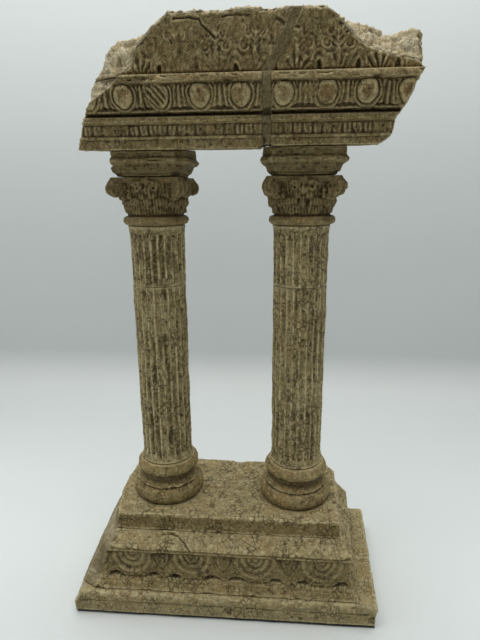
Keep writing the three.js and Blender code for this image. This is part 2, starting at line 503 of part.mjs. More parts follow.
export default root;
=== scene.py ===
# Miniature terrain ruin: high-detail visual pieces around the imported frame.
# Lengths inside the builders are millimetres; meshes are written in metres.
import math
import bpy
import numpy as np
from mathutils import Matrix, Vector
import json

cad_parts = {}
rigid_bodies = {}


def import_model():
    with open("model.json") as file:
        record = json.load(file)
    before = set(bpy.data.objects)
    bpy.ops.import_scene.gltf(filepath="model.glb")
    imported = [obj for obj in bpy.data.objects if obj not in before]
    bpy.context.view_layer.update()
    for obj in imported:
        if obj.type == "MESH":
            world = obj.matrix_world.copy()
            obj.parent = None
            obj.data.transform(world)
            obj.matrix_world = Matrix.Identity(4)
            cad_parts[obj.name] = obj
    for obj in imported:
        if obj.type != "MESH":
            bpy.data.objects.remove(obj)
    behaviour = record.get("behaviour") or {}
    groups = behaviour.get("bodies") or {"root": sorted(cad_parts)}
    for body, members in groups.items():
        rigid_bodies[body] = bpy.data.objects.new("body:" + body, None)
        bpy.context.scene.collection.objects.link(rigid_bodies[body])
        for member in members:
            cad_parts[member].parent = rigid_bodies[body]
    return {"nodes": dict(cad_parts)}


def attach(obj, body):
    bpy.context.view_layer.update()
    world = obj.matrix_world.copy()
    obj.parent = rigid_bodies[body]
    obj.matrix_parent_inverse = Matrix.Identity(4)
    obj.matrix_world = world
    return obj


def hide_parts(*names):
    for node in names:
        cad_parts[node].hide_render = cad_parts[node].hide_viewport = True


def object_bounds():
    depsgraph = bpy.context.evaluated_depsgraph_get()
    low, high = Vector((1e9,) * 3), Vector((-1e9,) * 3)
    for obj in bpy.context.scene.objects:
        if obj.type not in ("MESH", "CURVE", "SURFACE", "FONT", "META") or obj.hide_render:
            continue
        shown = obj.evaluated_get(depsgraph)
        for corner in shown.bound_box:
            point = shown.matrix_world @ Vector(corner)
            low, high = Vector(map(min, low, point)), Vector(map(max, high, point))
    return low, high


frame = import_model()
CAD_LO, CAD_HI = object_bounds()
CAD_BOX = [list(map(float, CAD_LO)), list(map(float, CAD_HI))]
MM = 0.001


# ------------------------------------------------------------------ numbers
def sstep(a, b, x):
    t = np.clip((x - a) / (b - a), 0.0, 1.0)
    return t * t * (3 - 2 * t)


def gauss(x, w):
    return np.exp(-(x / w) ** 2)


def hash01(ix, iy, iz, seed):
    with np.errstate(over="ignore"):
        h = (ix.astype(np.uint32) * np.uint32(0x8DA6B343)) ^ (iy.astype(np.uint32) * np.uint32(0xD8163841)) \
            ^ (iz.astype(np.uint32) * np.uint32(0xCB1AB31F)) ^ np.uint32((seed * 0x9E3779B1) & 0xFFFFFFFF)
        h ^= h >> np.uint32(15)
        h *= np.uint32(0x2C1B3C6D)
        h ^= h >> np.uint32(12)
        h *= np.uint32(0x297A2D39)
        h ^= h >> np.uint32(15)
    return h.astype(np.float64) / 4294967295.0


def vnoise(P, wavelength, seed=0):
    """Smooth value noise in -1..1 over points P (N,3) in mm."""
    Q = P / wavelength + 1000.0
    I = np.floor(Q).astype(np.int64)
    F = Q - I
    F = F * F * F * (F * (F * 6 - 15) + 10)
    out = 0.0
    for dx in (0, 1):
        wx = F[:, 0] if dx else 1 - F[:, 0]
        for dy in (0, 1):
            wy = F[:, 1] if dy else 1 - F[:, 1]
            for dz in (0, 1):
                wz = F[:, 2] if dz else 1 - F[:, 2]
                out = out + wx * wy * wz * hash01(I[:, 0] + dx, I[:, 1] + dy, I[:, 2] + dz, seed)
    return out * 2 - 1


def fbm(P, wavelength, octaves=3, seed=0, gain=0.5):
    out, amp, tot = 0.0, 1.0, 0.0
    for k in range(octaves):
        out = out + amp * vnoise(P, wavelength / (2 ** k), seed + 17 * k)
        tot += amp
        amp *= gain
    return out / tot


def ridged(P, wavelength, octaves=3, seed=0):
    out, amp, tot = 0.0, 1.0, 0.0
    for k in range(octaves):
        out = out + amp * (1 - np.abs(vnoise(P, wavelength / (2 ** k), seed + 31 * k)) * 2)
        tot += amp
        amp *= 0.5
    return out / tot


def worley(P, cell, seed=0, jitter=1.0):
    """Distance to the nearest and second nearest feature point, in mm, and the nearest cell's random number."""
    Q = P / cell + 500.0
    I = np.floor(Q).astype(np.int64)
    f1 = np.full(len(P), 1e9)
    f2 = np.full(len(P), 1e9)
    rid = np.zeros(len(P))
    for dx in (-1, 0, 1):
        for dy in (-1, 0, 1):
            for dz in (-1, 0, 1):
                c = I + np.array([dx, dy, dz])
                fx = hash01(c[:, 0], c[:, 1], c[:, 2], seed)
                fy = hash01(c[:, 0], c[:, 1], c[:, 2], seed + 1)
                fz = hash01(c[:, 0], c[:, 1], c[:, 2], seed + 2)
                pt = c + 0.5 + jitter * (np.stack([fx, fy, fz], -1) - 0.5)
                d = np.sqrt(((Q - pt) ** 2).sum(-1))
                near = d < f1
                f2 = np.where(near, f1, np.minimum(f2, d))
                rid = np.where(near, hash01(c[:, 0], c[:, 1], c[:, 2], seed + 3), rid)
                f1 = np.where(near, d, f1)
    return f1 * cell, f2 * cell, rid


def seg_dist(px, pz, poly):
    """Distance from points to a polyline in a plane."""
    best = np.full(px.shape, 1e9)
    for (x0, z0), (x1, z1) in zip(poly[:-1], poly[1:]):
        dx, dz = x1 - x0, z1 - z0
        t = np.clip(((px - x0) * dx + (pz - z0) * dz) / (dx * dx + dz * dz), 0, 1)
        best = np.minimum(best, np.hypot(px - x0 - t * dx, pz - z0 - t * dz))
    return best


# --------------------------------------------------------------- mesh makers
def vertex_normals(V, F):
    T = V[F]
    if F.shape[1] == 4:
        n = np.cross(T[:, 2] - T[:, 0], T[:, 3] - T[:, 1])
    else:
        n = np.cross(T[:, 1] - T[:, 0], T[:, 2] - T[:, 0])
    N = np.zeros_like(V)
    for k in range(3):
        for j in range(F.shape[1]):
            N[:, k] += np.bincount(F[:, j], weights=n[:, k], minlength=len(V))
    L = np.linalg.norm(N, axis=1, keepdims=True)
    return N / np.maximum(L, 1e-12)


def edges_of(F):
    e = []
    m = F.shape[1]
    for j in range(m):
        e.append(np.stack([F[:, j], F[:, (j + 1) % m]], -1))
    e = np.concatenate(e)
    e = np.concatenate([e, e[:, ::-1]])
    return e


def smooth_positions(V, E, deg, iters):
    W = V.copy()
    for _ in range(iters):
        A = np.empty_like(W)
        for k in range(3):
            A[:, k] = np.bincount(E[:, 0], weights=W[E[:, 1], k], minlength=len(W))
        W = np.where(A.any(1)[:, None], 0.25 * W + 0.75 * A / deg[:, None], W)
    return W


def volume_sign(V, F):
    T = V[F[:, :3]]
    v = np.einsum("ij,ij->i", T[:, 0], np.cross(T[:, 1], T[:, 2])).sum()
    if F.shape[1] == 4:
        T = V[F[:, [0, 2, 3]]]
        v += np.einsum("ij,ij->i", T[:, 0], np.cross(T[:, 1], T[:, 2])).sum()
    return v


def box_lattice(ns, na, nb):
    """Surface of a subdivided box: lattice coordinates in 0..1 and quads, one closed body."""
    idx = -np.ones((ns, na, nb), dtype=np.int64)
    I, J, K = np.meshgrid(np.arange(ns), np.arange(na), np.arange(nb), indexing="ij")
    on = (I == 0) | (I == ns - 1) | (J == 0) | (J == na - 1) | (K == 0) | (K == nb - 1)
    idx[on] = np.arange(on.sum())
    L = np.stack([I[on] / (ns - 1), J[on] / (na - 1), K[on] / (nb - 1)], -1).astype(float)
    Q = []

    def sheet(G, flip):
        a, b, c, d = G[:-1, :-1], G[1:, :-1], G[1:, 1:], G[:-1, 1:]
        q = np.stack([a, b, c, d], -1).reshape(-1, 4)
        Q.append(q[:, ::-1] if flip else q)
    sheet(idx[:, :, 0], True)
    sheet(idx[:, :, -1], False)
    sheet(idx[:, 0, :], False)
    sheet(idx[:, -1, :], True)
    sheet(idx[0, :, :], True)
    sheet(idx[-1, :, :], False)
    return L, np.concatenate(Q)


def ring_stack(R):
    """R (rows, M, 3): closed body of rings; the two end rings are closed with a centre point."""
    rows, M, _ = R.shape
    V = R.reshape(-1, 3)
    j = np.arange(M)
    jn = (j + 1) % M
    Q = []
    for r in range(rows - 1):
        Q.append(np.stack([r * M + j, r * M + jn, (r + 1) * M + jn, (r + 1) * M + j], -1))
    Q = np.concatenate(Q)
    c0, c1 = len(V), len(V) + 1
    V = np.concatenate([V, R[0].mean(0, keepdims=True), R[-1].mean(0, keepdims=True)])
    T0 = np.stack([np.full(M, c0), jn, j], -1)
    T1 = np.stack([np.full(M, c1), (rows - 1) * M + j, (rows - 1) * M + jn], -1)
    return V, Q, np.concatenate([T0, T1])


def grow(V, Q, T=None):
    """Normals of a mixed mesh of quads and triangles."""
    F = np.concatenate([Q, np.concatenate([T, T[:, 2:]], 1)]) if T is not None and len(T) else Q
    return vertex_normals(V, F)


def make_object(name, V, Q, T=None, attrs=None, smooth=True):
    """Write a mesh in metres with its point attributes. Turned inside out if its volume is negative."""
    vol = volume_sign(V, Q) + (volume_sign(V, T) if T is not None and len(T) else 0.0)
    if vol < 0:
        Q = Q[:, ::-1]
        T = T[:, ::-1] if T is not None else None
    me = bpy.data.meshes.new(name)
    nq, nt = len(Q), 0 if T is None else len(T)
    me.vertices.add(len(V))
    me.vertices.foreach_set("co", (V * MM).astype(np.float32).ravel())
    loops = Q.ravel()
    starts = np.arange(nq) * 4
    if nt:
        loops = np.concatenate([loops, T.ravel()])
        starts = np.concatenate([starts, nq * 4 + np.arange(nt) * 3])
    me.loops.add(len(loops))
    me.loops.foreach_set("vertex_index", loops.astype(np.int32))
    me.polygons.add(nq + nt)
    me.polygons.foreach_set("loop_start", starts.astype(np.int32))
    me.update(calc_edges=True)
    me.validate()
    if smooth:
        me.polygons.foreach_set("use_smooth", np.ones(len(me.polygons), dtype=bool))
    for k, a in (attrs or {}).items():
        at = me.attributes.new(k, "FLOAT", "POINT")
        at.data.foreach_set("value", np.clip(a, 0, 1).astype(np.float32))
    me.update()
    ob = bpy.data.objects.new(name, me)
    bpy.context.scene.collection.objects.link(ob)
    return ob


def surface_attrs(V, Q, T=None, fine=5, broad=26):
    """Recess and edge masks from how far each point lies under or over its smoothed surroundings."""
    E = edges_of(Q)
    if T is not None and len(T):
        E = np.concatenate([E, edges_of(T)])
    deg = np.maximum(np.bincount(E[:, 0], minlength=len(V)), 1).astype(float)
    F = Q
    N = vertex_normals(V, F)
    vol = volume_sign(V, Q)
    if vol < 0:
        N = -N
    W1 = smooth_positions(V, E, deg, fine)
    W2 = smooth_positions(W1, E, deg, broad)
    d1 = ((W1 - V) * N).sum(1)
    d2 = ((W2 - V) * N).sum(1)
    cav = sstep(0.015, 0.14, d1) * 0.55 + sstep(0.03, 0.55, d2) * 0.75
    edge = sstep(0.02, 0.16, -d1) * 0.6 + sstep(0.05, 0.6, -d2) * 0.6
    return {"cav": np.clip(cav, 0, 1), "edge": np.clip(edge, 0, 1)}, N


# ------------------------------------------------------- the broken outline
OUT_Y = np.array([-30.5, -18.0, -2.0, 12.0, 30.0])
OUTLINE = np.array([
    [[-71.4, 250], [-71.8, 250], [-72.0, 250], [-69.8, 250], [-67.5, 250]],
    [[-71.2, 259], [-72.0, 259.5], [-72.4, 261], [-70.6, 260], [-67.5, 259.5]],
    [[-68.8, 268], [-70.0, 269], [-71.6, 269], [-70.2, 268], [-66.5, 270]],
    [[-66.4, 273.5], [-67.0, 276], [-69.0, 277], [-68.6, 277], [-64.5, 278]],
    [[-62.2, 280], [-65.2, 283], [-68.2, 285], [-67.4, 286], [-63.0, 286]],
    [[-56.2, 283.2], [-64.2, 287.5], [-68.4, 291], [-67.2, 292], [-61.5, 292]],
    [[-47.2, 289.3], [-62.5, 291.8], [-66.6, 296], [-65.6, 297], [-59.2, 297]],
    [[-40.8, 292.5], [-58.9, 296], [-62.4, 300.6], [-60.6, 301.4], [-55.0, 301.6]],
    [[-38.6, 298.5], [-57.2, 300.5], [-59.2, 305], [-57.4, 305.4], [-51.4, 305]],
    [[-37.3, 303.6], [-54.4, 305.9], [-54.9, 308.8], [-52.2, 308.3], [-46.2, 307.5]],
    [[-34.5, 306.5], [-48.9, 308.7], [-48.6, 311.6], [-43.8, 309.8], [-39.0, 309]],
    [[-30.9, 309.6], [-39.6, 309.5], [-39.6, 312.8], [-35.8, 311.4], [-31.0, 309.8]],
    [[-26.5, 313.2], [-32.8, 313.6], [-31.8, 315.2], [-27.8, 313.4], [-24.0, 311.0]],
    [[-23.7, 316.2], [-25.6, 317.8], [-24.2, 318.6], [-20.4, 316.6], [-17.0, 312.5]],
    [[-8.0, 316.8], [-9.7, 319.4], [-9.0, 320.0], [-8.0, 318.5], [-6.0, 312]],
    [[1.5, 316.0], [0.6, 318.7], [1.0, 319.5], [2.0, 319], [3.0, 313.5]],
    [[11.8, 317.0], [11.0, 320.0], [10.5, 320.0], [11.0, 318], [12.0, 312]],
    [[20.6, 316.3], [20.0, 319.2], [20.0, 319.5], [20.0, 317], [20.0, 311]],
    [[29.3, 316.6], [29.3, 319.4], [29.5, 319.4], [29.5, 317], [29.0, 311]],
    [[36.6, 317.2], [37.0, 320.0], [37.5, 320.0], [38.0, 318.5], [38.0, 312.5]],
    [[47.2, 316.8], [47.4, 320.0], [47.6, 320.0], [48.0, 317], [48.0, 311]],
    [[54.6, 310.6], [55.4, 313.4], [56.0, 314.6], [57.0, 313.6], [56.0, 309.5]],
    [[61.2, 303.6], [61.8, 313.0], [62.5, 314.2], [63.0, 313], [62.0, 309]],
    [[67.8, 299.0], [68.8, 311.2], [69.0, 312.4], [69.0, 311], [67.0, 308]],
    [[74.2, 296.0], [76.6, 308.0], [76.6, 309.4], [75.0, 308.4], [72.0, 305.5]],
    [[81.0, 294.3], [82.4, 309.4], [81.6, 310.6], [80.0, 307.2], [76.0, 303.5]],
    [[87.4, 292.8], [87.4, 310.0], [86.2, 310.6], [84.0, 306.6], [80.0, 302]],
    [[90.8, 291.2], [91.6, 307.6], [91.0, 308.2], [88.4, 304.5], [83.8, 300]],
    [[90.0, 288.6], [90.8, 298.5], [90.4, 300], [88.6, 298], [84.8, 295]],
    [[88.2, 285.6], [91.0, 290.0], [90.4, 291], [87.5, 290], [84.5, 289]],
    [[86.8, 281.6], [89.0, 283.0], [88.2, 284.5], [86.0, 284], [82.0, 283]],
    [[83.4, 274.8], [85.6, 277.0], [85.6, 278], [83.6, 277], [80.0, 276]],
    [[80.8, 271.0], [82.2, 272.0], [83.0, 272], [81.4, 271], [78.5, 270]],
    [[79.2, 263.4], [80.9, 265.0], [81.6, 266], [79.7, 265.5], [76.5, 265]],
    [[74.0, 259.8], [75.8, 260.8], [77.2, 261], [75.2, 261], [71.8, 260.5]],
    [[73.8, 250], [75.6, 250], [77.2, 250], [75.0, 250], [71.8, 250]],
], dtype=float)


def across_y(y, vals):
    """Blend five per-station arrays (5, N) at depth y."""
    y = np.clip(y, OUT_Y[0], OUT_Y[-1])
    k = np.clip(np.searchsorted(OUT_Y, y) - 1, 0, 3)
    t = (y - OUT_Y[k]) / (OUT_Y[k + 1] - OUT_Y[k])
    t = t * t * (3 - 2 * t) * 0.5 + t * 0.5
    n = np.arange(len(y))
    return vals[k, n] * (1 - t) + vals[k + 1, n] * t


def left_end(y, z):
    v = np.stack([np.interp(z, OUTLINE[:12, s, 1], OUTLINE[:12, s, 0]) for s in range(5)])
    return across_y(y, v)


def right_end(y, z):
    rows = OUTLINE[27:36][::-1]
    v = np.stack([np.interp(z, rows[:, s, 1], rows[:, s, 0]) for s in range(5)])
    return across_y(y, v)


def top_height(x, y):
    rows = OUTLINE[5:28]
    v = np.stack([np.interp(x, rows[:, s, 0], rows[:, s, 1], left=rows[0, s, 1] - 6) for s in range(5)])
    return across_y(y, v)


BREAK_Z = np.array([250, 272, 291.5, 297, 305, 315, 324.0])
BREAK_X = np.array([21.6, 21.5, 21.6, 25.1, 29.5, 34.6, 36.6])
SEAM_HALF = 1.95


def break_x(z):
    return np.interp(z, BREAK_Z, BREAK_X)


# ---------------------------------------------------------------- weathering
def weather(P, seed, amp=1.0):
    h = fbm(P, 9.0, 3, seed) * 0.24 + fbm(P, 2.7, 2, seed + 5) * 0.13
    h -= 0.34 * sstep(0.42, 0.8, vnoise(P, 1.8, seed + 9))
    return h * amp


def fracture(P, seed):
    h = fbm(P, 11.0, 3, seed + 60) * 1.15 + (ridged(P, 5.2, 3, seed + 70) - 0.4) * 0.5
    f1, f2, _ = worley(P + 0.9 * fbm(P, 3.0, 2, seed + 84)[:, None], 2.6, seed + 83)
    h += 0.42 * sstep(0.0, 1.0, f2 - f1) - 0.25
    h -= 0.55 * sstep(0.35, 0.8, vnoise(P, 1.9, seed + 85))
    h += fbm(P, 1.5, 2, seed + 80) * 0.30
    return h - 0.35


def build(name, nodes, V, Q, T, seed, relief=None, frac=None, amp=1.0, chips=0.8, soften=2, masks=None, frac_amp=1.0,
          keep_flat=None):
    """Turn a base surface into a weathered, carved piece.
    relief(V, N) gives a height in mm along the normal. frac is the weight of broken surface at each point."""
    vol = volume_sign(V, Q) + (volume_sign(V, T) if T is not None and len(T) else 0.0)
    if vol < 0:
        Q = Q[:, ::-1]
        T = T[:, ::-1] if T is not None else None
    E = edges_of(Q)
    deg = np.maximum(np.bincount(E[:, 0], minlength=len(V)), 1).astype(float)
    if soften:
        V = smooth_positions(V, E, deg, soften)
    N = vertex_normals(V, Q)
    W = smooth_positions(V, E, deg, 7)
    convex = sstep(0.05, 0.55, ((V - W) * N).sum(1))
    frac = np.zeros(len(V)) if frac is None else frac
    h = weather(V, seed, amp) * (1 - 0.6 * frac)
    h -= chips * convex * sstep(0.05, 0.6, fbm(V, 5.0, 2, seed + 40)) * (1 - frac)
    h -= 0.16 * convex
    extra = {}
    if relief is not None:
        r = relief(V, N)
        if isinstance(r, tuple):
            r, extra = r
        h = h + r
    h = h + frac_amp * fracture(V, seed) * frac
    if keep_flat is not None:
        h = h * (1 - keep_flat(V, N))
    V = V + N * h[:, None]
    V = smooth_positions(V, E, deg, 0)
    lo = np.array(CAD_BOX[0]) / MM + 0.02
    hi = np.array(CAD_BOX[1]) / MM - 0.02
    V = np.clip(V, lo, hi)
    # masks for the material: cav marks recesses that get painted shade, edge marks ridges that get painted highlight
    # along with worn paint, lying marks upward faces (upright ones get painted shade); deep and pale add to cav and
    # edge, calm takes painted shade away
    N = vertex_normals(V, Q)
    W1 = smooth_positions(V, E, deg, 4)
    W2 = smooth_positions(W1, E, deg, 24)
    d1 = ((W1 - V) * N).sum(1)
    d2 = ((W2 - V) * N).sum(1)
    attrs = {
        "cav": np.clip(sstep(0.012, 0.13, d1) * 0.5 + sstep(0.04, 0.6, d2) * 0.8 + extra.get("deep", 0.0), 0, 1) * (1 - extra.get("calm", 0.0)),
        "edge": np.clip(sstep(0.02, 0.15, -d1) * 0.55 + sstep(0.08, 0.7, -d2) * 0.6 + extra.get("pale", 0.0), 0, 1),
        "frac": frac,
        "rust": extra.get("rust", np.zeros(len(V))),
        "mort": extra.get("mort", np.zeros(len(V))),
        "dirt": extra.get("dirt", np.zeros(len(V))),
        "lying": sstep(0.35, 0.85, N[:, 2]),
    }
    if masks:
        attrs.update(masks)
    ob = make_object(name, V, Q, T, attrs)
    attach(ob, "root")
    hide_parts(*nodes)
    return ob


# ---------------------------------------------------------------- ring bodies
def plan_poly(front, back, x_right, skew, left, chip=0.0):
    def xr(y):
        return x_right + skew * (y + front)
    pts = [[x_right, -front], [xr(0), 0]]
    if chip > 0:
        pts += [[xr(back - chip), back - chip], [xr(back) - chip * 0.8, back]]
    else:
        pts += [[xr(back - 0.6), back - 0.6], [xr(back) - 0.6, back]]
    pts += [[0, back]] + [list(p) for p in reversed(left)] + [[0, -front]]
    return np.array(pts, dtype=float)


SPACING = [0.6, 0.6, 0.6, 0.85, 0.85] + [0.6] * 7 + [0.40, 0.40]
N_EDGES = 14


def ring_counts(poly, fine=1.0):
    L = np.linalg.norm(np.roll(poly, -1, 0) - poly, axis=1)
    return [max(2, int(math.ceil(L[k] / (SPACING[k] * fine)))) for k in range(len(poly))]


def sample_ring(poly, counts):
    out = []
    for k, n in enumerate(counts):
        a, b = poly[k], poly[(k + 1) % len(poly)]
        t = np.arange(n)[:, None] / n
        out.append(a * (1 - t) + b * t)
    return np.concatenate(out)


def edge_ids(counts):
    return np.concatenate([np.full(n, k) for k, n in enumerate(counts)])


def level_stack(levels, step, counts):
    """levels: (z, polygon) from bottom to top, filled in to about `step` apart."""
    rings, zs = [], []
    for k in range(len(levels) - 1):
        z0, p0 = levels[k]
        z1, p1 = levels[k + 1]
        dist = math.hypot(z1 - z0, abs(p1[0][1] - p0[0][1]))
        n = max(1, int(round(dist / step)))
        for i in range(n):
            t = i / n
            rings.append(sample_ring(p0 * (1 - t) + p1 * t, counts))
            zs.append(z0 + (z1 - z0) * t)
    rings.append(sample_ring(levels[-1][1], counts))
    zs.append(levels[-1][0])
    return rings, zs


def inset(ring, ts, cx0, cx1, cy=0.0):
    c = np.stack([np.clip(ring[:, 0], cx0, cx1), np.full(len(ring), cy)], -1)
    return [ring * (1 - t) + c * t for t in ts]


def stack_to_mesh(bottom, rings, zs, top):
    allr = [np.column_stack([r, np.full(len(r), zs[0])]) for r in bottom]
    allr += [np.column_stack([r, np.full(len(r), z)]) for r, z in zip(rings, zs)]
    allr += [np.column_stack([r, np.full(len(r), zs[-1])]) for r in top]
    R = np.stack(allr)
    V, Q, T = ring_stack(R)
    return V, Q, T, len(allr)


def per_ring(values, nrings):
    """Spread a perimeter array over the whole stack and its two centre points."""
    return np.concatenate([np.tile(values, nrings), [0.0, 0.0]])


def circular_smooth(a, width):
    k = np.ones(width) / width
    return np.convolve(np.concatenate([a[-width:], a, a[:width]]), k, "same")[width:-width]


def slab_left_low(d):
    return [[-88.8, -d], [-89.2, -30], [-90.2, -14], [-89.6, 0], [-90.8, 14], [-90.4, 28], [-89.4, 38], [-88, d]]


def slab_left_top(d):
    return [[-86, -d], [-87.4, -31], [-88.2, -15], [-88.4, 0], [-88.8, 13], [-88.2, 27], [-87, 37], [-85.6, d]]


def poly_crack(V, pts, width, depth):
    """A crack cut along a line through 3-D points."""
    best = np.full(len(V), 1e9)
    P = [np.array(p, dtype=float) for p in pts]
    wob = np.stack([fbm(V, 2.6, 2, 301), fbm(V, 2.6, 2, 302), fbm(V, 2.6, 2, 303)], -1) * 0.9
    X = V + wob
    for a, b in zip(P[:-1], P[1:]):
        d = b - a
        t = np.clip(((X - a) @ d) / (d @ d), 0, 1)
        best = np.minimum(best, np.linalg.norm(X - a - t[:, None] * d, axis=1))
    return -depth * sstep(width, width * 0.25, best)


def blob(V, c, r, depth):
    d = np.sqrt((((V - np.array(c)) / np.array(r)) ** 2).sum(1)) + 0.25 * fbm(V, 2.2, 2, 77)
    return -depth * sstep(1.1, 0.55, d)


LEFT_EDGES = (5, 6, 7, 8, 9, 10, 11)


def plan_frac(counts, extra=()):
    e = edge_ids(counts)
    f = np.isin(e, LEFT_EDGES).astype(float)
    f = circular_smooth(f, 5)
    for k, w in extra:
        f = np.maximum(f, circular_smooth((e == k).astype(float) * w, 5))
    return f


def ease_plan(poly):
    """Front edge runs slightly forward towards the left, rear edge falls away at the right."""
    x, y = poly.T
    y = np.where(y < 0, y * (1 + 0.00018 * (86 - x)), y * (1 - 0.0008 * np.maximum(0, x - 40)))
    return np.stack([x, y], -1)


def make_slab():
    lv = [
        (1.5, plan_poly(44.9, 44.9, 85.2, 0.055, slab_left_low(44.9))),
        (3.0, plan_poly(45.3, 45.3, 85.6, 0.055, slab_left_low(45.3))),
        (8.4, plan_poly(45.3, 45.3, 85.6, 0.055, slab_left_low(45.3))),
        (9.2, plan_poly(44.8, 44.8, 85.1, 0.055, slab_left_top(44.8))),
        (10.2, plan_poly(45.4, 45.4, 85.8, 0.055, slab_left_top(45.4))),
        (12.6, plan_poly(45.4, 45.4, 85.8, 0.055, slab_left_top(45.4))),
        (14.0, plan_poly(44.6, 44.6, 85.6, 0.055, slab_left_top(44.6))),
        (14.7, plan_poly(43.4, 43.4, 85.0, 0.055, slab_left_top(43.4))),
    ]
    lv = [(z, ease_plan(p)) for z, p in lv]
    counts = ring_counts(lv[3][1])
    rings, zs = level_stack(lv, 0.40, counts)
    bottom = inset(rings[0], [0.9, 0.5, 0.2, 0.06, 0.02], -40, 35)
    top = inset(rings[-1], list(np.linspace(0.016, 0.34, 21)) + [0.42, 0.6, 0.8, 0.95], -40, 35)
    V, Q, T, nr = stack_to_mesh(bottom, rings, zs, top)
    side = per_ring(plan_frac(counts), nr)

    def relief(V, N):
        x, y, z = V.T
        h = np.zeros(len(V))
        # shallow groove under the lip, uneven along its length
        face = sstep(0.3, 0.8, np.abs(N[:, 1])) + sstep(0.3, 0.8, N[:, 0])
        h -= 0.14 * gauss(z - 9.1 - 0.35 * vnoise(V, 14, 4), 0.6) * face * np.clip(0.45 + 0.9 * vnoise(V, 12, 3), 0, 1)
        h += face * (0.30 * fbm(V, 7, 3, 8) - 0.5 * sstep(0.35, 0.8, vnoise(V, 4.2, 9)) * sstep(9.0, 11.0, z))
        # vertical tool marks on the face
        h += 0.12 * vnoise(np.stack([x * 1.0, y, z * 0.12], -1), 1.5, 41) * face * sstep(9.2, 8.0, z)
        h += blob(V, (2.0, -45, 6.2), (4.2, 3.0, 3.2), 1.5)
        h += blob(V, (83.6, -44.5, 4.4), (3.4, 3.6, 4.2), 1.7)
        h += blob(V, (43.0, -45, 4.2), (1.6, 2.0, 1.4), 0.8)
        h += blob(V, (38.0, -45, 5.0), (1.2, 2.0, 1.0), 0.7)
        h += blob(V, (-60.0, 45, 12.0), (7, 3.0, 3.2), 1.4)
        h += blob(V, (20.0, 45.2, 3.0), (5, 3.0, 3.2), 1.2)
        h += poly_crack(V, [(-9, -43.5, 14.9), (-5, -45.2, 13), (-1, -45.6, 11), (3, -45.5, 8)], 0.6, 0.8)
        h += poly_crack(V, [(60, -43.5, 14.9), (62, -45.2, 13), (61, -45.6, 10)], 0.45, 0.5)
        h += poly_crack(V, [(-45, -43.5, 14.9), (-44, -45.2, 13), (-46, -45.6, 11)], 0.45, 0.5)
        return h

    def flat(V, N):
        return np.maximum(sstep(2.2, 1.7, V[:, 2]), sstep(14.3, 14.6, V[:, 2]) * 0.35)
    return build("base_slab_stone", ["base_slab"], V, Q, T, 11, relief, side * sstep(1.5, 3.5, V[:, 2]), keep_flat=flat, frac_amp=0.7)


SHELLS = [-54.4, -19.5, 16.9, 54.6]
HOLLOWS = [-73.0, -37.0, -1.5, 36.0]


def shell_relief(x, z):
    h = np.zeros_like(x)
    for i, c in enumerate(SHELLS):
        R = (12.0, 11.2, 12.2, 12.0)[i]
        u, v = x - c, 37.8 - z
        d = np.sqrt(u * u + (0.84 * v) ** 2) * 8.9 / R
        th = np.arctan2(u, v + 0.5)
        inside = sstep(9.4, 8.8, d) * sstep(38.5, 37.8, z)
        ring = 1.15 * gauss(d - 8.0, 0.70) - 0.55 * gauss(d - 6.5, 0.55) + 0.75 * gauss(d - 4.9, 0.65) \
            - 0.55 * gauss(d - 3.7, 0.5) + 0.65 * gauss(d - 2.6, 0.5) - 0.5 * gauss(d - 1.6, 0.4) + 0.8 * gauss(d, 0.8)
        fan = 0.12 * np.cos(th * 15) * sstep(3, 6, d)
        h = np.maximum(h, inside * (0.55 + ring * 0.9 + fan))
        # the band that the shell hangs over, between its two lens-shaped gaps
        h = np.maximum(h, 0.55 * sstep(9.6, 8.6, np.abs(u) + 0.2 * (z - 22)) * sstep(27.5, 26, z) * sstep(21.6, 22.4, z))
    for m in HOLLOWS:
        u = np.abs(x - m)
        tri = sstep(-0.6, 1.8, 7.6 * (z - 23.4) / 14.4 - u) * sstep(24.2, 26.6, z) * sstep(38.4, 37.6, z)
        h = h * (1 - tri) - 1.7 * tri
        # a small heart-shaped bud stands in the hollow
        bud = gauss(u, 1.3) * sstep(26.5, 29.5, z) * sstep(36.6, 33.5, z)
        lobe = gauss(np.hypot(u - 2.6, (z - 34.4) * 0.8), 1.5) * sstep(38.2, 37.0, z)
        side = gauss(u - 1.5 - 0.32 * (z - 29), 0.75) * sstep(28.5, 30.5, z) * sstep(35.8, 34.4, z)
        h += (1.7 * bud + 2.0 * lobe + 1.6 * side) * tri
    for i, c in enumerate(SHELLS):
        for s in (-10.3, 11.6):
            w = 1.0 + 0.18 * math.sin(3.1 * i + s)
            d = np.hypot((x - c - s) / (4.3 * w), (z - 22.9 + 0.05 * (x - c - s) ** 2) / 1.35)
            h -= 4.2 * sstep(1.2, 0.6, d)
    return h


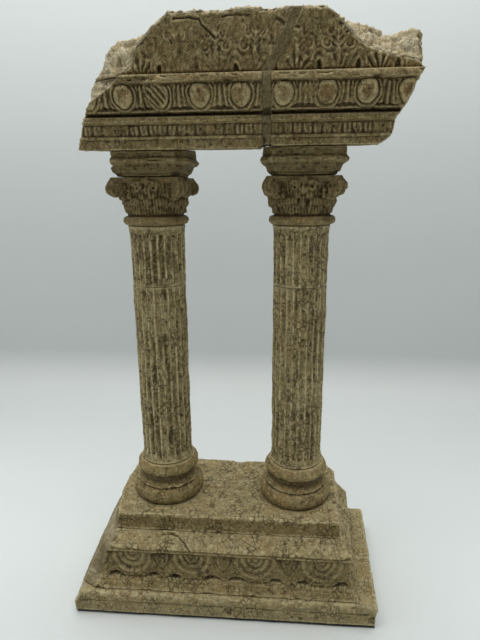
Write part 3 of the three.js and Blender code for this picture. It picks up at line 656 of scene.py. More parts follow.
def make_course():
    L = [
        (14.78, plan_poly(43.5, 43.5, 76.8, 0.07, [[-78, -43.5], [-86.2, -38.8], [-87.7, -26], [-88.4, -12], [-88.7, 4], [-88.6, 20], [-87.2, 34.6], [-84, 43.5]], 6)),
        (15.5, plan_poly(42.4, 42.4, 75.7, 0.07, [[-77, -42.4], [-85.3, -38], [-86.8, -26], [-87.5, -12], [-87.9, 4], [-87.8, 20], [-86.4, 34], [-83, 42.4]], 6)),
        (17.2, plan_poly(41.6, 41.6, 74.9, 0.07, [[-76, -41.6], [-84.5, -36.6], [-85.9, -24.4], [-86.6, -10], [-87, 5], [-86.8, 20], [-85.4, 33.6], [-81.6, 41.6]], 7)),
        (19.6, plan_poly(40.4, 40.4, 72.6, 0.07, [[-75, -40.4], [-83.5, -35], [-85, -22.5], [-85.8, -8.5], [-86.2, 6], [-86, 20], [-84.5, 33], [-80, 40.4]], 8)),
        (21.0, plan_poly(39.1, 39.1, 70.9, 0.07, [[-74.4, -39.1], [-82.8, -34], [-84.4, -22], [-85.2, -8], [-85.4, 6], [-85.2, 20], [-83.8, 32], [-79.4, 39.1]], 8.5)),
        (25.0, plan_poly(39.0, 39.0, 70.6, 0.07, [[-73.1, -39], [-81, -32.6], [-82.6, -22], [-83.6, -8], [-83.8, 5], [-83.5, 20], [-81.6, 32], [-78, 39]], 9.5)),
        (33.0, plan_poly(39.1, 39.1, 70.5, 0.07, [[-71.6, -39.1], [-77.2, -32.4], [-78.9, -22.4], [-79.6, -9], [-80, 5], [-80, 20], [-78.5, 31.6], [-75.5, 39.1]], 12.5)),
        (38.2, plan_poly(39.3, 39.3, 70.5, 0.07, [[-69.5, -39.3], [-74.6, -33.2], [-76.2, -23.6], [-77.1, -10], [-77.4, 5], [-77.6, 20], [-76, 31.4], [-73, 39.3]], 14)),
        (38.9, plan_poly(40.2, 40.2, 71.3, 0.07, [[-68.6, -40.2], [-74, -33.6], [-75.8, -24], [-76.8, -10.6], [-77, 4], [-77, 19], [-75.6, 31], [-72.6, 40.2]], 16)),
        (41.6, plan_poly(40.2, 40.2, 71.3, 0.07, [[-66.6, -40.2], [-72, -35], [-73.8, -26], [-74.8, -12], [-75.2, 2], [-75.4, 18], [-74.4, 31], [-71.4, 40.2]], 17)),
        (42.4, plan_poly(39.2, 39.2, 70.4, 0.07, [[-66.4, -39.2], [-71.6, -34], [-73.6, -25], [-74.6, -11], [-75, 3], [-75, 18], [-74, 30], [-71, 39.2]], 17)),
        (46.5, plan_poly(30.6, 33.4, 65.8, 0.05, [[-66, -30.6], [-68.8, -26], [-71.2, -17], [-73, -4], [-73.2, 8], [-72.8, 19], [-71.8, 28], [-69, 33.4]], 6)),
    ]
    counts = ring_counts(L[5][1])
    rings, zs = level_stack(L, 0.42, counts)
    bottom = inset(rings[0], [0.9, 0.4, 0.08], -38, 32)
    top = inset(rings[-1], [0.02, 0.04, 0.07, 0.11, 0.3, 0.6, 0.95], -38, 32)
    V, Q, T, nr = stack_to_mesh(bottom, rings, zs, top)
    side = per_ring(plan_frac(counts, ((0, 0.2), (1, 0.2))), nr)

    def relief(V, N):
        x, y, z = V.T
        # the carved faces are the long front and back ones; the height is measured square to them
        face = sstep(0.45, 0.85, np.abs(N[:, 1])) * (1 - np.clip(side * 1.4 - 0.4, 0, 1))
        endy = sstep(-1.0, 2.5, np.minimum(x + 75, 69.6 + (y > 0) * 5 - x))
        n1 = 0.62 + 0.30 * vnoise(V, 9, 55) + 0.20 * vnoise(V, 3, 56)
        sh = shell_relief(x + 0.45 * fbm(V, 5, 2, 51), z + 0.45 * fbm(V, 5, 2, 52)) * face * endy
        h = sh * n1 * 1.15
        h -= 0.55 * gauss(z - 40.2, 0.32) * face           # between the two fillets
        h -= 0.30 * gauss(z - 19.0, 0.35) * face           # under the cyma
        h += 0.28 * fbm(V, 6, 3, 58) * face
        up = sstep(0.5, 0.85, N[:, 2])
        h += up * 0.22 * fbm(V, 13, 2, 57)
        h += poly_crack(V, [(-36, -29.5, 47.5), (-33.5, -31.5, 46.2), (-28, -33.5, 45.2), (-24, -37, 43.6), (-21, -39.8, 42.3), (-20.5, -40.4, 39.5)], 0.85, 1.25)
        h += blob(V, (-33.0, -31.0, 46.4), (3.2, 2.4, 2.0), 0.7)
        h += poly_crack(V, [(5, -31.5, 46.5), (8, -35, 44.6), (7, -39, 42.7)], 0.4, 0.4)
        h += blob(V, (69.5, -40.5, 41), (3.0, 2.4, 2.4), 0.9)
        band = face * sstep(21.5, 23, z) * sstep(38.6, 38, z)
        # painted highlight on the raised shells, painted shade in the sunken hollows; calm eases the recess shade on
        # the band
        return h, {"pale": 0.65 * sstep(0.55, 1.2, sh) * band, "deep": 0.42 * sstep(-0.3, -1.5, sh) * band, "calm": 0.25 * band}

    def flat(V, N):
        return np.maximum(sstep(15.05, 14.85, V[:, 2]), sstep(46.1, 46.45, V[:, 2]) * sstep(0.7, 0.95, N[:, 2]))
    # the carved frieze band on the long faces is darkened
    band = sstep(21.5, 24, V[:, 2]) * sstep(39.2, 38, V[:, 2]) * (np.abs(V[:, 1]) > 30)
    return build("base_carved_course_stone", ["base_carved_course"], V, Q, T, 23, relief, side, keep_flat=flat, frac_amp=0.75, chips=0.6,
                 masks={"dirt": band * 0.35})


def make_plinth():
    L = [
        (46.58, plan_poly(30.9, 33.7, 66.0, 0.045, [[-66.6, -30.9], [-69.2, -24.8], [-71.6, -14], [-73.1, -3], [-72.7, 8], [-72.1, 18], [-71.2, 27.6], [-69.8, 35.1]], 6)),
        (47.5, plan_poly(29.9, 32.8, 65.0, 0.045, [[-65.6, -29.9], [-68, -24], [-70.4, -14], [-71.9, -3], [-71.5, 8], [-70.9, 18], [-70, 27], [-68.6, 34]], 6)),
        (51.0, plan_poly(29.5, 32.6, 64.6, 0.045, [[-65.2, -29.5], [-67.4, -24], [-69.4, -14], [-71, -4], [-70.6, 6], [-70.2, 17], [-69.4, 27], [-68.2, 34.6]], 6.5)),
        (55.6, plan_poly(29.6, 32.6, 64.7, 0.045, [[-64.7, -29.6], [-66.9, -24], [-67.9, -13], [-69.9, -5], [-69.8, 3], [-69, 15], [-68.7, 27], [-67.8, 35]], 7)),
        (56.5, plan_poly(28.9, 31.8, 64.0, 0.045, [[-64.1, -28.9], [-66.3, -23.6], [-67.3, -13], [-69.1, -5], [-69.2, 3], [-68.4, 15], [-68, 26.6], [-67, 34]], 7.5)),
    ]
    counts = ring_counts(L[2][1])
    rings, zs = level_stack(L, 0.38, counts)
    bottom = inset(rings[0], [0.9, 0.4, 0.08], -36, 32)
    top = inset(rings[-1], list(np.linspace(0.018, 0.97, 50)), -36, 32)
    V, Q, T, nr = stack_to_mesh(bottom, rings, zs, top)
    side = per_ring(plan_frac(counts, ((2, 0.7),)), nr)
    zz = V[:, 2]

    def relief(V, N):
        x, y, z = V.T
        up = sstep(0.5, 0.9, N[:, 2])
        h = up * (0.20 * fbm(V, 15, 2, 61) - 0.05)
        face = sstep(0.4, 0.8, -N[:, 1])
        h += 0.14 * face * vnoise(np.stack([x, y, z * 0.15], -1), 1.6, 62)
        h += 0.35 * face * fbm(V, 9, 2, 66) + 0.3 * face * gauss(z - 55.0, 1.0) * vnoise(V, 6, 67)
        h += blob(V, (3.0, 33.5, 56.0), (5.5, 3.2, 4.2), 1.4)      # nick in the rear edge
        h += poly_crack(V, [(-33, -28.0, 56.9), (-33.5, -29.8, 53), (-32, -30, 49), (-31, -29.8, 46.5)], 0.6, 0.7)
        h += blob(V, (-32.5, -30, 49), (2.4, 2.2, 2.6), 0.7)
        return h

    def flat(V, N):
        near = np.minimum(np.hypot(V[:, 0] - 40, V[:, 1]), np.hypot(V[:, 0] + 40, V[:, 1]))
        return np.maximum(sstep(46.9, 46.65, V[:, 2]), sstep(56.0, 56.4, V[:, 2]) * sstep(23.0, 21.6, near))
    fr = side * sstep(56.6, 55.9, zz)
    # the upright front and back faces are darkened, fading out towards the top
    foot = sstep(56, 53.0, zz) * sstep(46.6, 48.2, zz) * (np.abs(V[:, 1]) > 27) * 0.30
    return build("base_plinth_stone", ["base_plinth"], V, Q, T, 37, relief, fr, keep_flat=flat, frac_amp=0.7, chips=1.0,
                 masks={"dirt": foot})


def make_felt():
    left = [[-88.2, -44.6], [-88.8, -30], [-89.7, -14], [-89.2, 0], [-90.3, 14], [-90, 28], [-89, 38], [-87.6, 44.6]]
    base = ease_plan(plan_poly(44.8, 44.8, 85.1, 0.055, left))
    counts = ring_counts(base, 1.6)
    prof = [(0.0, 0.30), (0.15, 0.08), (0.6, 0.0), (1.05, 0.08), (1.2, 0.25)]
    r0 = sample_ring(base, counts)
    n = r0 / np.linalg.norm(r0, axis=1, keepdims=True)
    rings = []
    for z, off in prof:
        P3 = np.column_stack([r0, np.full(len(r0), z * 6)])
        rings.append(r0 - n * (off + 0.2 + 0.10 * vnoise(P3, 1.1, 5)[:, None] + 0.14 * vnoise(P3, 9, 6)[:, None]))
    zs = [p[0] for p in prof]
    V, Q, T, nr = stack_to_mesh(inset(rings[0], [0.9, 0.3], -38, 34), rings, zs, inset(rings[-1], [0.04, 0.12, 0.9], -38, 34))
    ob = make_object("felt_pad_cloth", V, Q, T, {})
    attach(ob, "root")
    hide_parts("felt_pad")
    return ob


# -------------------------------------------------------------------- columns
def spline(profile, n):
    """Rounded curve through the profile points, evenly spaced along its length."""
    P = np.array(profile, dtype=float)
    Pp = np.vstack([2 * P[0] - P[1], P, 2 * P[-1] - P[-2]])
    out = []
    for k in range(len(P) - 1):
        a, b, c, d = Pp[k:k + 4]
        t = np.linspace(0, 1, 24, endpoint=False)[:, None]
        out.append(0.5 * ((2 * b) + (c - a) * t + (2 * a - 5 * b + 4 * c - d) * t ** 2 + (3 * b - a - 3 * c + d) * t ** 3))
    out.append(P[-1:])
    C = np.concatenate(out)
    s = np.concatenate([[0], np.cumsum(np.linalg.norm(np.diff(C, axis=0), axis=1))])
    q = np.linspace(0, s[-1], n)
    return np.stack([np.interp(q, s, C[:, 0]), np.interp(q, s, C[:, 1])], -1)


def turned(cx, curve, M, radial=None, caps=8, cap_r=1.5):
    """Closed body of revolution about a column axis. radial(theta, z, r) may reshape each ring."""
    th = np.arange(M) * 2 * math.pi / M
    rows = []
    r0, z0 = curve[0]
    r1, z1 = curve[-1]
    prof = [(r, z0) for r in np.linspace(cap_r, r0, caps, endpoint=False)] + [tuple(p) for p in curve] \
        + [(r, z1) for r in np.linspace(r1, cap_r, caps + 1)[1:]]
    for r, z in prof:
        rr = np.full(M, r) if radial is None else radial(th, np.full(M, z), np.full(M, r))
        rows.append(np.stack([cx + rr * np.cos(th), rr * np.sin(th), np.full(M, z)], -1))
    R = np.stack(rows)
    V, Q, T = ring_stack(R)
    ang = np.concatenate([np.tile(th, len(prof)), [0, 0]])
    return V, Q, T, ang


def make_column_base(cx, side, seed):
    prof = [[20.5, 56.8], [21.35, 58.2], [21.6, 60.2], [21.3, 62.6], [20.2, 64.7], [19.0, 65.9], [18.7, 66.4],
            [19.1, 66.9], [18.9, 67.7], [17.4, 68.2], [16.1, 69.4], [15.6, 70.9], [15.9, 72.4], [17.0, 73.3],
            [18.2, 74.4], [18.75, 75.8], [18.4, 77.4], [17.2, 79.1], [16.4, 80.5]]
    curve = spline(prof, 108)
    V, Q, T, ang = turned(cx, curve, 320)

    def relief(V, N):
        z = V[:, 2]
        h = -0.45 * gauss(z - 66.3, 0.4) - 0.25 * gauss(z - 73.4, 0.4)
        for k in range(5):
            a = hash01(np.array([k]), np.array([seed]), np.array([3]), 9)[0] * 6.283
            zc = 59 + 20 * hash01(np.array([k]), np.array([seed]), np.array([5]), 9)[0]
            h += blob(V, (cx + 20.5 * math.cos(a), 20.5 * math.sin(a), zc), (2.6, 2.6, 1.8), 0.8)
        h += 0.38 * fbm(V, 4.2, 3, seed + 23) - 0.45 * sstep(0.45, 0.8, vnoise(V, 3.1, seed + 24))
        # painted shadow under the upper torus (deep) and painted highlight along its top (pale)
        under = gauss(z - 72.6, 0.9)
        h -= 0.55 * under
        return h, {"deep": 0.65 * under + 0.3 * gauss(z - 66.3, 0.5), "pale": 0.35 * gauss(z - 77.6, 1.3) * np.clip(0.5 + vnoise(V, 5, seed + 25), 0, 1)}

    def flat(V, N):
        return np.maximum(sstep(57.15, 56.9, V[:, 2]), sstep(80.1, 80.45, V[:, 2]) * sstep(0.8, 0.95, N[:, 2]))
    z = V[:, 2]
    # painted shade at the foot against the plinth and in the hollow of the scotia
    foot = sstep(60.5, 57.5, z) * 0.5
    hollow = sstep(68.2, 69.6, z) * sstep(74.6, 72.6, z)
    return build(f"column_base_{side}_stone", [f"column_base_{side}"], V, Q, T, seed, relief, keep_flat=flat, amp=1.15, chips=0.9,
                 masks={"dirt": np.maximum(foot, hollow * 0.9)})


FLUTES = 24


def flute_shape(th, z, r, seed, fade, turn=0.0, cx=0.0):
    P = np.stack([cx + 15 * np.cos(th), 15 * np.sin(th), z], -1)
    wob = 0.020 * vnoise(P, 26, seed + 3) + 0.012 * vnoise(P, 7, seed + 4)
    f = (th + turn + wob) * FLUTES / (2 * math.pi)
    k = np.floor(f)
    f = f - k - 0.5
    prof = np.sqrt(np.clip(1 - (f / 0.41) ** 2, 0, 1))
    each = 0.80 + 0.34 * hash01(np.mod(k, FLUTES), np.zeros_like(k), np.zeros_like(k), seed + 8)
    worn = 0.80 + 0.30 * vnoise(P, 19, seed + 5) + 0.15 * vnoise(P, 5, seed + 6)
    return r - 1.55 * prof * fade * np.clip(each * worn, 0.25, 1.3)


def make_shaft(cx, side, seed):
    out = []
    # lower drum: apophyge at the foot, then fluted
    zc = np.concatenate([np.linspace(80.9, 88, 20), np.linspace(88, 188.3, 224)[1:], [188.45, 188.6]])
    r = np.interp(zc, [80.9, 81.5, 82.4, 83.8, 84.8, 188.3, 188.6], [15.8, 15.6, 15.25, 15.1, 15.05, 15.15, 15.08])
    curve = np.stack([r, zc], -1)

    def rad_low(th, z, rr):
        fade = sstep(83.4, 86.6, z) * (rr > 14)
        return flute_shape(th, z, rr, seed, fade, 0.0, cx)
    V, Q, T, ang = turned(cx, curve, 288, rad_low, caps=5)
    out.append((f"shaft_lower_{side}", V, Q, T, seed, 80.9, 188.6))
    # upper drum, set down a hair out of line
    zc = np.concatenate([[188.9, 189.05], np.linspace(189.3, 221.6, 78)])
    r = np.interp(zc, [188.9, 189.2, 216.6, 219.0, 220.6, 221.6], [15.08, 15.15, 15.2, 15.25, 15.6, 15.9])
    curve = np.stack([r, zc], -1)

    def rad_up(th, z, rr):
        fade = sstep(219.2, 216.2, z) * (rr > 14)
        return flute_shape(th, z, rr, seed + 1, fade, 0.02, cx)
    V, Q, T, ang = turned(cx, curve, 288, rad_up, caps=5)
    V = V + np.array([0.22 if side == "left" else -0.18, -0.12, 0])
    out.append((f"shaft_upper_{side}", V, Q, T, seed + 2, 188.9, 221.6))
    for name, V, Q, T, sd, z0, z1 in out:
        def relief(V, N, z0=z0, z1=z1):
            x, y, z = V.T
            P = np.stack([x, y, z * 0.35], -1)
            h = 0.20 * vnoise(P, 2.1, 91) + 0.22 * fbm(V, 17, 2, 92) + 0.10 * vnoise(V, 1.4, 94)
            h -= 0.30 * sstep(0.55, 0.95, vnoise(np.stack([x, y, z * 0.3], -1), 4.2, sd + 93))
            near = gauss(z - (z0 if z0 > 150 else z1), 1.3)
            return h * (1 - 0.8 * near), {"calm": 0.8 * near}

        def flat(V, N, z0=z0, z1=z1):
            f = sstep(z0 + 0.25, z0 + 0.05, V[:, 2]) * sstep(-0.8, -0.95, N[:, 2])
            return np.maximum(f, sstep(z1 - 0.25, z1 - 0.05, V[:, 2]) * sstep(0.8, 0.95, N[:, 2]))
        build(name + "_stone", [name], V, Q, T, sd, relief, keep_flat=flat, amp=0.65, chips=0.3, soften=1)


# ------------------------------------------------------------------ capitals
def sweep_ribbon(path, normal, half_w, half_t, close_ends=True):
    """Closed rounded bar along path (N,3). normal (N,3) is the thin direction; half_w, half_t per point."""
    path = np.array(path)
    n = len(path)
    tan = np.gradient(path, axis=0)
    tan /= np.linalg.norm(tan, axis=1, keepdims=True)
    wid = np.cross(tan, normal)
    wid /= np.linalg.norm(wid, axis=1, keepdims=True)
    nn = np.cross(wid, tan)
    a = np.linspace(0, 2 * math.pi, 12, endpoint=False)
    ca, sa = np.sign(np.cos(a)) * np.abs(np.cos(a)) ** 0.6, np.sign(np.sin(a)) * np.abs(np.sin(a)) ** 0.6
    R = path[:, None, :] + wid[:, None, :] * (half_w[:, None, None] * ca[None, :, None]) \
        + nn[:, None, :] * (half_t[:, None, None] * sa[None, :, None])
    return ring_stack(R)


def leaf_mesh(angle, base_r, tip_out, z0, z1, width, curl, seed):
    """One acanthus leaf that lies against the bell and rolls over at its tip."""
    nu, nv = 15, 22
    v = np.linspace(0, 1, nv)
    # centre line: up along the bell, outward, then down again at the tip
    r = base_r + tip_out * v ** 2.2
    z = z0 + (z1 - z0) * np.sin(v * math.pi * 0.5) ** 0.9
    roll = sstep(0.80, 1.0, v)
    r = r + curl * roll
    z = z - curl * 0.95 * roll ** 2
    u = np.linspace(-1, 1, nu)
    lob = 1 + 0.16 * np.cos(v * math.pi * 7)
    w = width * (0.78 + 0.22 * np.sin(v * math.pi)) * np.sqrt(np.clip(1 - (v * 0.97) ** 5, 0.03, 1)) * lob
    front, back = [], []
    for k in range(nv):
        off = u * w[k]
        ridge = 0.75 * np.exp(-(u / 0.16) ** 2) + 0.42 * np.cos(u * math.pi * 3.0) * (1 - 0.3 * np.abs(u))
        cup = -1.3 * u ** 2
        rr = r[k] + ridge * (1 - 0.3 * roll[k]) + cup
        ang = angle + off / max(r[k], 8)
        front.append(np.stack([rr * np.cos(ang), rr * np.sin(ang), np.full(nu, z[k])], -1))
        rb = r[k] - 1.6 + cup * 0.6
        back.append(np.stack([rb * np.cos(ang), rb * np.sin(ang), np.full(nu, z[k] - 0.3 * roll[k])], -1))
    R = []
    for f, b in zip(front, back):
        R.append(np.concatenate([f, b[::-1]]))
    return ring_stack(np.stack(R))


BELL = [[15.8, 221.9], [16.8, 222.3], [17.8, 223.3], [17.9, 224.6], [17.3, 225.9], [16.1, 226.6], [15.2, 227.2],
        [15.1, 229], [15.4, 233], [16.1, 237.5], [17.2, 241], [18.4, 243.4], [18.6, 244.6]]


def capital_parts(seed):
    parts = []
    curve = spline(BELL, 60)
    V, Q, T, _ = turned(0.0, curve, 72, caps=3, cap_r=1.0)
    parts.append((V, Q, T))
    # abacus: hollow-sided plate in two fascias
    th = np.linspace(0, 2 * math.pi, 160, endpoint=False)

    def abacus_r(t, grow):
        a = np.mod(t + math.pi / 4, math.pi / 2) - math.pi / 4
        side = 16.6 + grow + 0.010 * (np.tan(np.clip(np.abs(a), 0, 0.75)) * 18) ** 2
        return np.minimum(side / np.cos(a), 25.3 + grow)
    rows = []
    for z, g in [(243.7, -0.9), (244.2, -0.2), (244.9, 0.0), (245.15, -0.5), (245.4, 0.3), (246.1, 0.35), (246.5, -0.1)]:
        rr = abacus_r(th, g)
        rows.append(np.stack([rr * np.cos(th), rr * np.sin(th), np.full(len(th), z)], -1))
    bottom = rows[0] * np.array([0.3, 0.3, 1.0])
    top = rows[-1] * np.array([0.3, 0.3, 1.0])
    parts.append(ring_stack(np.stack([bottom] + rows + [top])))
    up = np.array([0, 0, 1.0])

    def pad(a, r, z, wid, dep, hgt, droop=0.0):
        """A rounded tip of a leaf, wider than deep."""
        rad = np.array([math.cos(a), math.sin(a), 0.0])
        tan = np.array([-math.sin(a), math.cos(a), 0.0])
        ph = np.linspace(0, 2 * math.pi, 22, endpoint=False)
        rows = []
        for t in np.linspace(-1, 1, 11):
            k = math.sqrt(max(1 - t * t, 0.004))
            off = rad * (r + dep * 0.0) + up * (z + hgt * t - droop * 0.0)
            rows.append(off + (np.cos(ph) * wid * k)[:, None] * tan + (np.sin(ph) * dep * k)[:, None] * rad)
        parts.append(ring_stack(np.stack(rows)))
    rng = np.random.default_rng(seed)
    for i in range(8):
        a = math.pi / 4 * i + math.pi / 8
        pad(a, 15.7, 234.2 + rng.uniform(-.4, .4), 3.9, 2.2, 2.3)
        pad(a - 0.16, 15.4, 231.8, 2.0, 1.6, 2.0)
        pad(a + 0.16, 15.4, 231.8, 2.0, 1.6, 2.0)
        pad(a, 15.0, 229.4, 3.4, 1.6, 2.4)
    for i in range(8):
        a = math.pi / 4 * i
        pad(a, 17.2, 239.6 + rng.uniform(-.4, .4), 3.9, 2.3, 2.1)
        pad(a - 0.15, 17.2, 237.4, 1.9, 1.7, 1.8)
        pad(a + 0.15, 17.2, 237.4, 1.9, 1.7, 1.8)
        pad(a, 16.4, 234.0, 1.7, 1.5, 3.2)
    # corner scrolls with their rising stems
    for q in range(4):
        a = math.pi / 4 + math.pi / 2 * q
        rad = np.array([math.cos(a), math.sin(a), 0.0])
        axis = np.array([-math.sin(a), math.cos(a), 0.0])
        turns = 1.6
        s = np.linspace(0, 1, 56)
        phi = math.pi * 0.62 - s * turns * 2 * math.pi
        rr = 3.55 * (1 - s) ** 0.8 + 0.7
        c = rad * 22.9 + up * 240.9
        path = c + (np.cos(phi) * rr)[:, None] * rad + (np.sin(phi) * rr)[:, None] * up
        t = np.linspace(0, 1, 16, endpoint=False)[:, None]
        p0 = rad * 15.6 + up * 232.5
        p1 = rad * 17.0 + up * 243.8
        stem = (1 - t) ** 2 * p0 + 2 * t * (1 - t) * p1 + t ** 2 * path[0]
        full = np.concatenate([stem, path])
        nrm = np.gradient(full, axis=0)
        nrm /= np.linalg.norm(nrm, axis=1, keepdims=True)
        thin = np.cross(nrm, axis)
        n = len(full)
        hw = np.interp(np.arange(n), [0, 16, n * 0.6, n - 1], [2.4, 2.8, 2.9, 3.1])
        ht = np.interp(np.arange(n), [0, 16, n - 1], [1.1, 1.25, 0.8])
        parts.append(sweep_ribbon(full, thin, hw, ht))
        M2 = 28
        phi2 = np.linspace(0, 2 * math.pi, M2, endpoint=False)
        rows = []
        for off, r2 in [(-2.6, 0.3), (-2.6, 3.4), (-2.4, 3.6), (2.4, 3.6), (2.6, 3.4), (2.6, 0.3)]:
            rows.append(c + axis * off + (np.cos(phi2) * r2)[:, None] * rad + (np.sin(phi2) * r2)[:, None] * up)
        parts.append(ring_stack(np.stack(rows)))
        # a knob of leaf under each scroll ties it to the bell
        pad(a, 19.0, 236.6, 2.4, 2.2, 2.0)
    # inner scrolls and the flower in the middle of each side
    for q in range(4):
        a0 = math.pi / 2 * q
        for sgn in (-1, 1):
            a = a0 + sgn * 0.24
            rad = np.array([math.cos(a), math.sin(a), 0.0])
            axis = np.array([-math.sin(a), math.cos(a), 0.0]) * sgn
            s = np.linspace(0, 1, 40)
            phi = math.pi * 0.9 - s * 1.4 * 2 * math.pi
            rr = 2.2 * (1 - s) + 0.4
            c = rad * 18.0 + up * 241.4
            path = c - (np.cos(phi) * rr)[:, None] * axis + (np.sin(phi) * rr)[:, None] * up
            parts.append(sweep_ribbon(path, np.cross(np.gradient(path, axis=0), rad), np.full(len(path), 1.6), np.full(len(path), 0.7)))
        rad = np.array([math.cos(a0), math.sin(a0), 0.0])
        axis = np.array([-math.sin(a0), math.cos(a0), 0.0])
        ph = np.linspace(0, 2 * math.pi, 40, endpoint=False)
        rows = []
        for off, r3 in [(15.5, 0.5), (15.5, 2.2), (17.8, 2.5), (18.6, 1.9), (19.0, 0.9), (19.1, 0.2)]:
            rl = r3 * (1 + (0.16 * np.cos(ph * 5) if r3 > 1.2 else 0))
            rows.append(rad * off + up * 244.2 + (np.cos(ph) * rl)[:, None] * axis + (np.sin(ph) * rl)[:, None] * up)
        parts.append(ring_stack(np.stack(rows)))
    return parts


def voxel_join(parts, voxel):
    """Fuse overlapping closed parts into one skin."""
    Vs, Qs, Ts, o = [], [], [], 0
    for V, Q, T in parts:
        vol = volume_sign(V, Q) + volume_sign(V, T)
        if vol < 0:
            Q, T = Q[:, ::-1], T[:, ::-1]
        Vs.append(V)
        Qs.append(Q + o)
        Ts.append(T + o)
        o += len(V)
    ob = make_object("tmp_join", np.concatenate(Vs), np.concatenate(Qs), np.concatenate(Ts), {})
    m = ob.modifiers.new("fuse", "REMESH")
    m.mode = "VOXEL"
    m.voxel_size = voxel * MM
    m.adaptivity = 0.0
    dg = bpy.context.evaluated_depsgraph_get()
    me = bpy.data.meshes.new_from_object(ob.evaluated_get(dg), depsgraph=dg)
    V = np.empty(len(me.vertices) * 3)
    me.vertices.foreach_get("co", V)
    V = V.reshape(-1, 3) / MM
    idx = np.empty(len(me.loops), dtype=np.int32)
    me.loops.foreach_get("vertex_index", idx)
    tot = np.empty(len(me.polygons), dtype=np.int32)
    me.polygons.foreach_get("loop_total", tot)
    if not (tot == 4).all():
        raise RuntimeError("remesh gave faces that are not quads")
    Q = idx.reshape(-1, 4).astype(np.int64)
    old = ob.data
    bpy.data.objects.remove(ob)
    bpy.data.meshes.remove(old)
    bpy.data.meshes.remove(me)
    return V, Q


def make_capital(cx, side, seed, shared):
    V, Q = shared
    V = V + np.array([cx, 0, 0])

    def relief(V, N):
        x, y, z = V[:, 0] - cx, V[:, 1], V[:, 2]
        th = np.arctan2(y, x)
        r = np.hypot(x, y)
        rib = np.stack([th * 16, z * 0.22, r * 0.1], -1)
        zone = sstep(227.0, 228.4, z) * sstep(244.0, 242.5, z)
        h = zone * sstep(0.9, 0.5, np.abs(N[:, 2])) * (0.30 * np.cos(th * 64 + 1.6 * vnoise(V, 5, seed + 6)) + 0.35 * vnoise(rib, 1.6, seed + 7))
        h += 0.22 * fbm(V, 5, 3, seed + 3)
        pit = sstep(0.30, 0.75, vnoise(V, 2.3, seed + 4)) * zone
        lump = sstep(0.25, 0.75, vnoise(V, 2.1, seed + 9)) * zone
        h += 0.45 * lump - 0.55 * pit
        h -= 0.5 * gauss(z - 227.1, 0.5)
        # painted highlight on the raised lumps, painted shade in the pits
        return h, {"pale": 0.5 * lump, "deep": 0.25 * pit}

    def flat(V, N):
        return np.maximum(sstep(222.2, 222.0, V[:, 2]), sstep(246.2, 246.45, V[:, 2]) * sstep(0.8, 0.95, N[:, 2]))
    z = V[:, 2]
    # painted shade over the bell, leaves and scrolls, sheltered under the abacus and beam, and a painted shadow line at
    # the necking
    dirt = sstep(226.6, 227.6, z) * 0.55
    dirt = np.maximum(dirt, gauss(z - 227.2, 0.7))
    return build(f"capital_{side}_stone", [f"capital_{side}"], V, Q, None, seed, relief, keep_flat=flat, amp=1.0, chips=0.4, soften=0,
                 masks={"dirt": dirt})


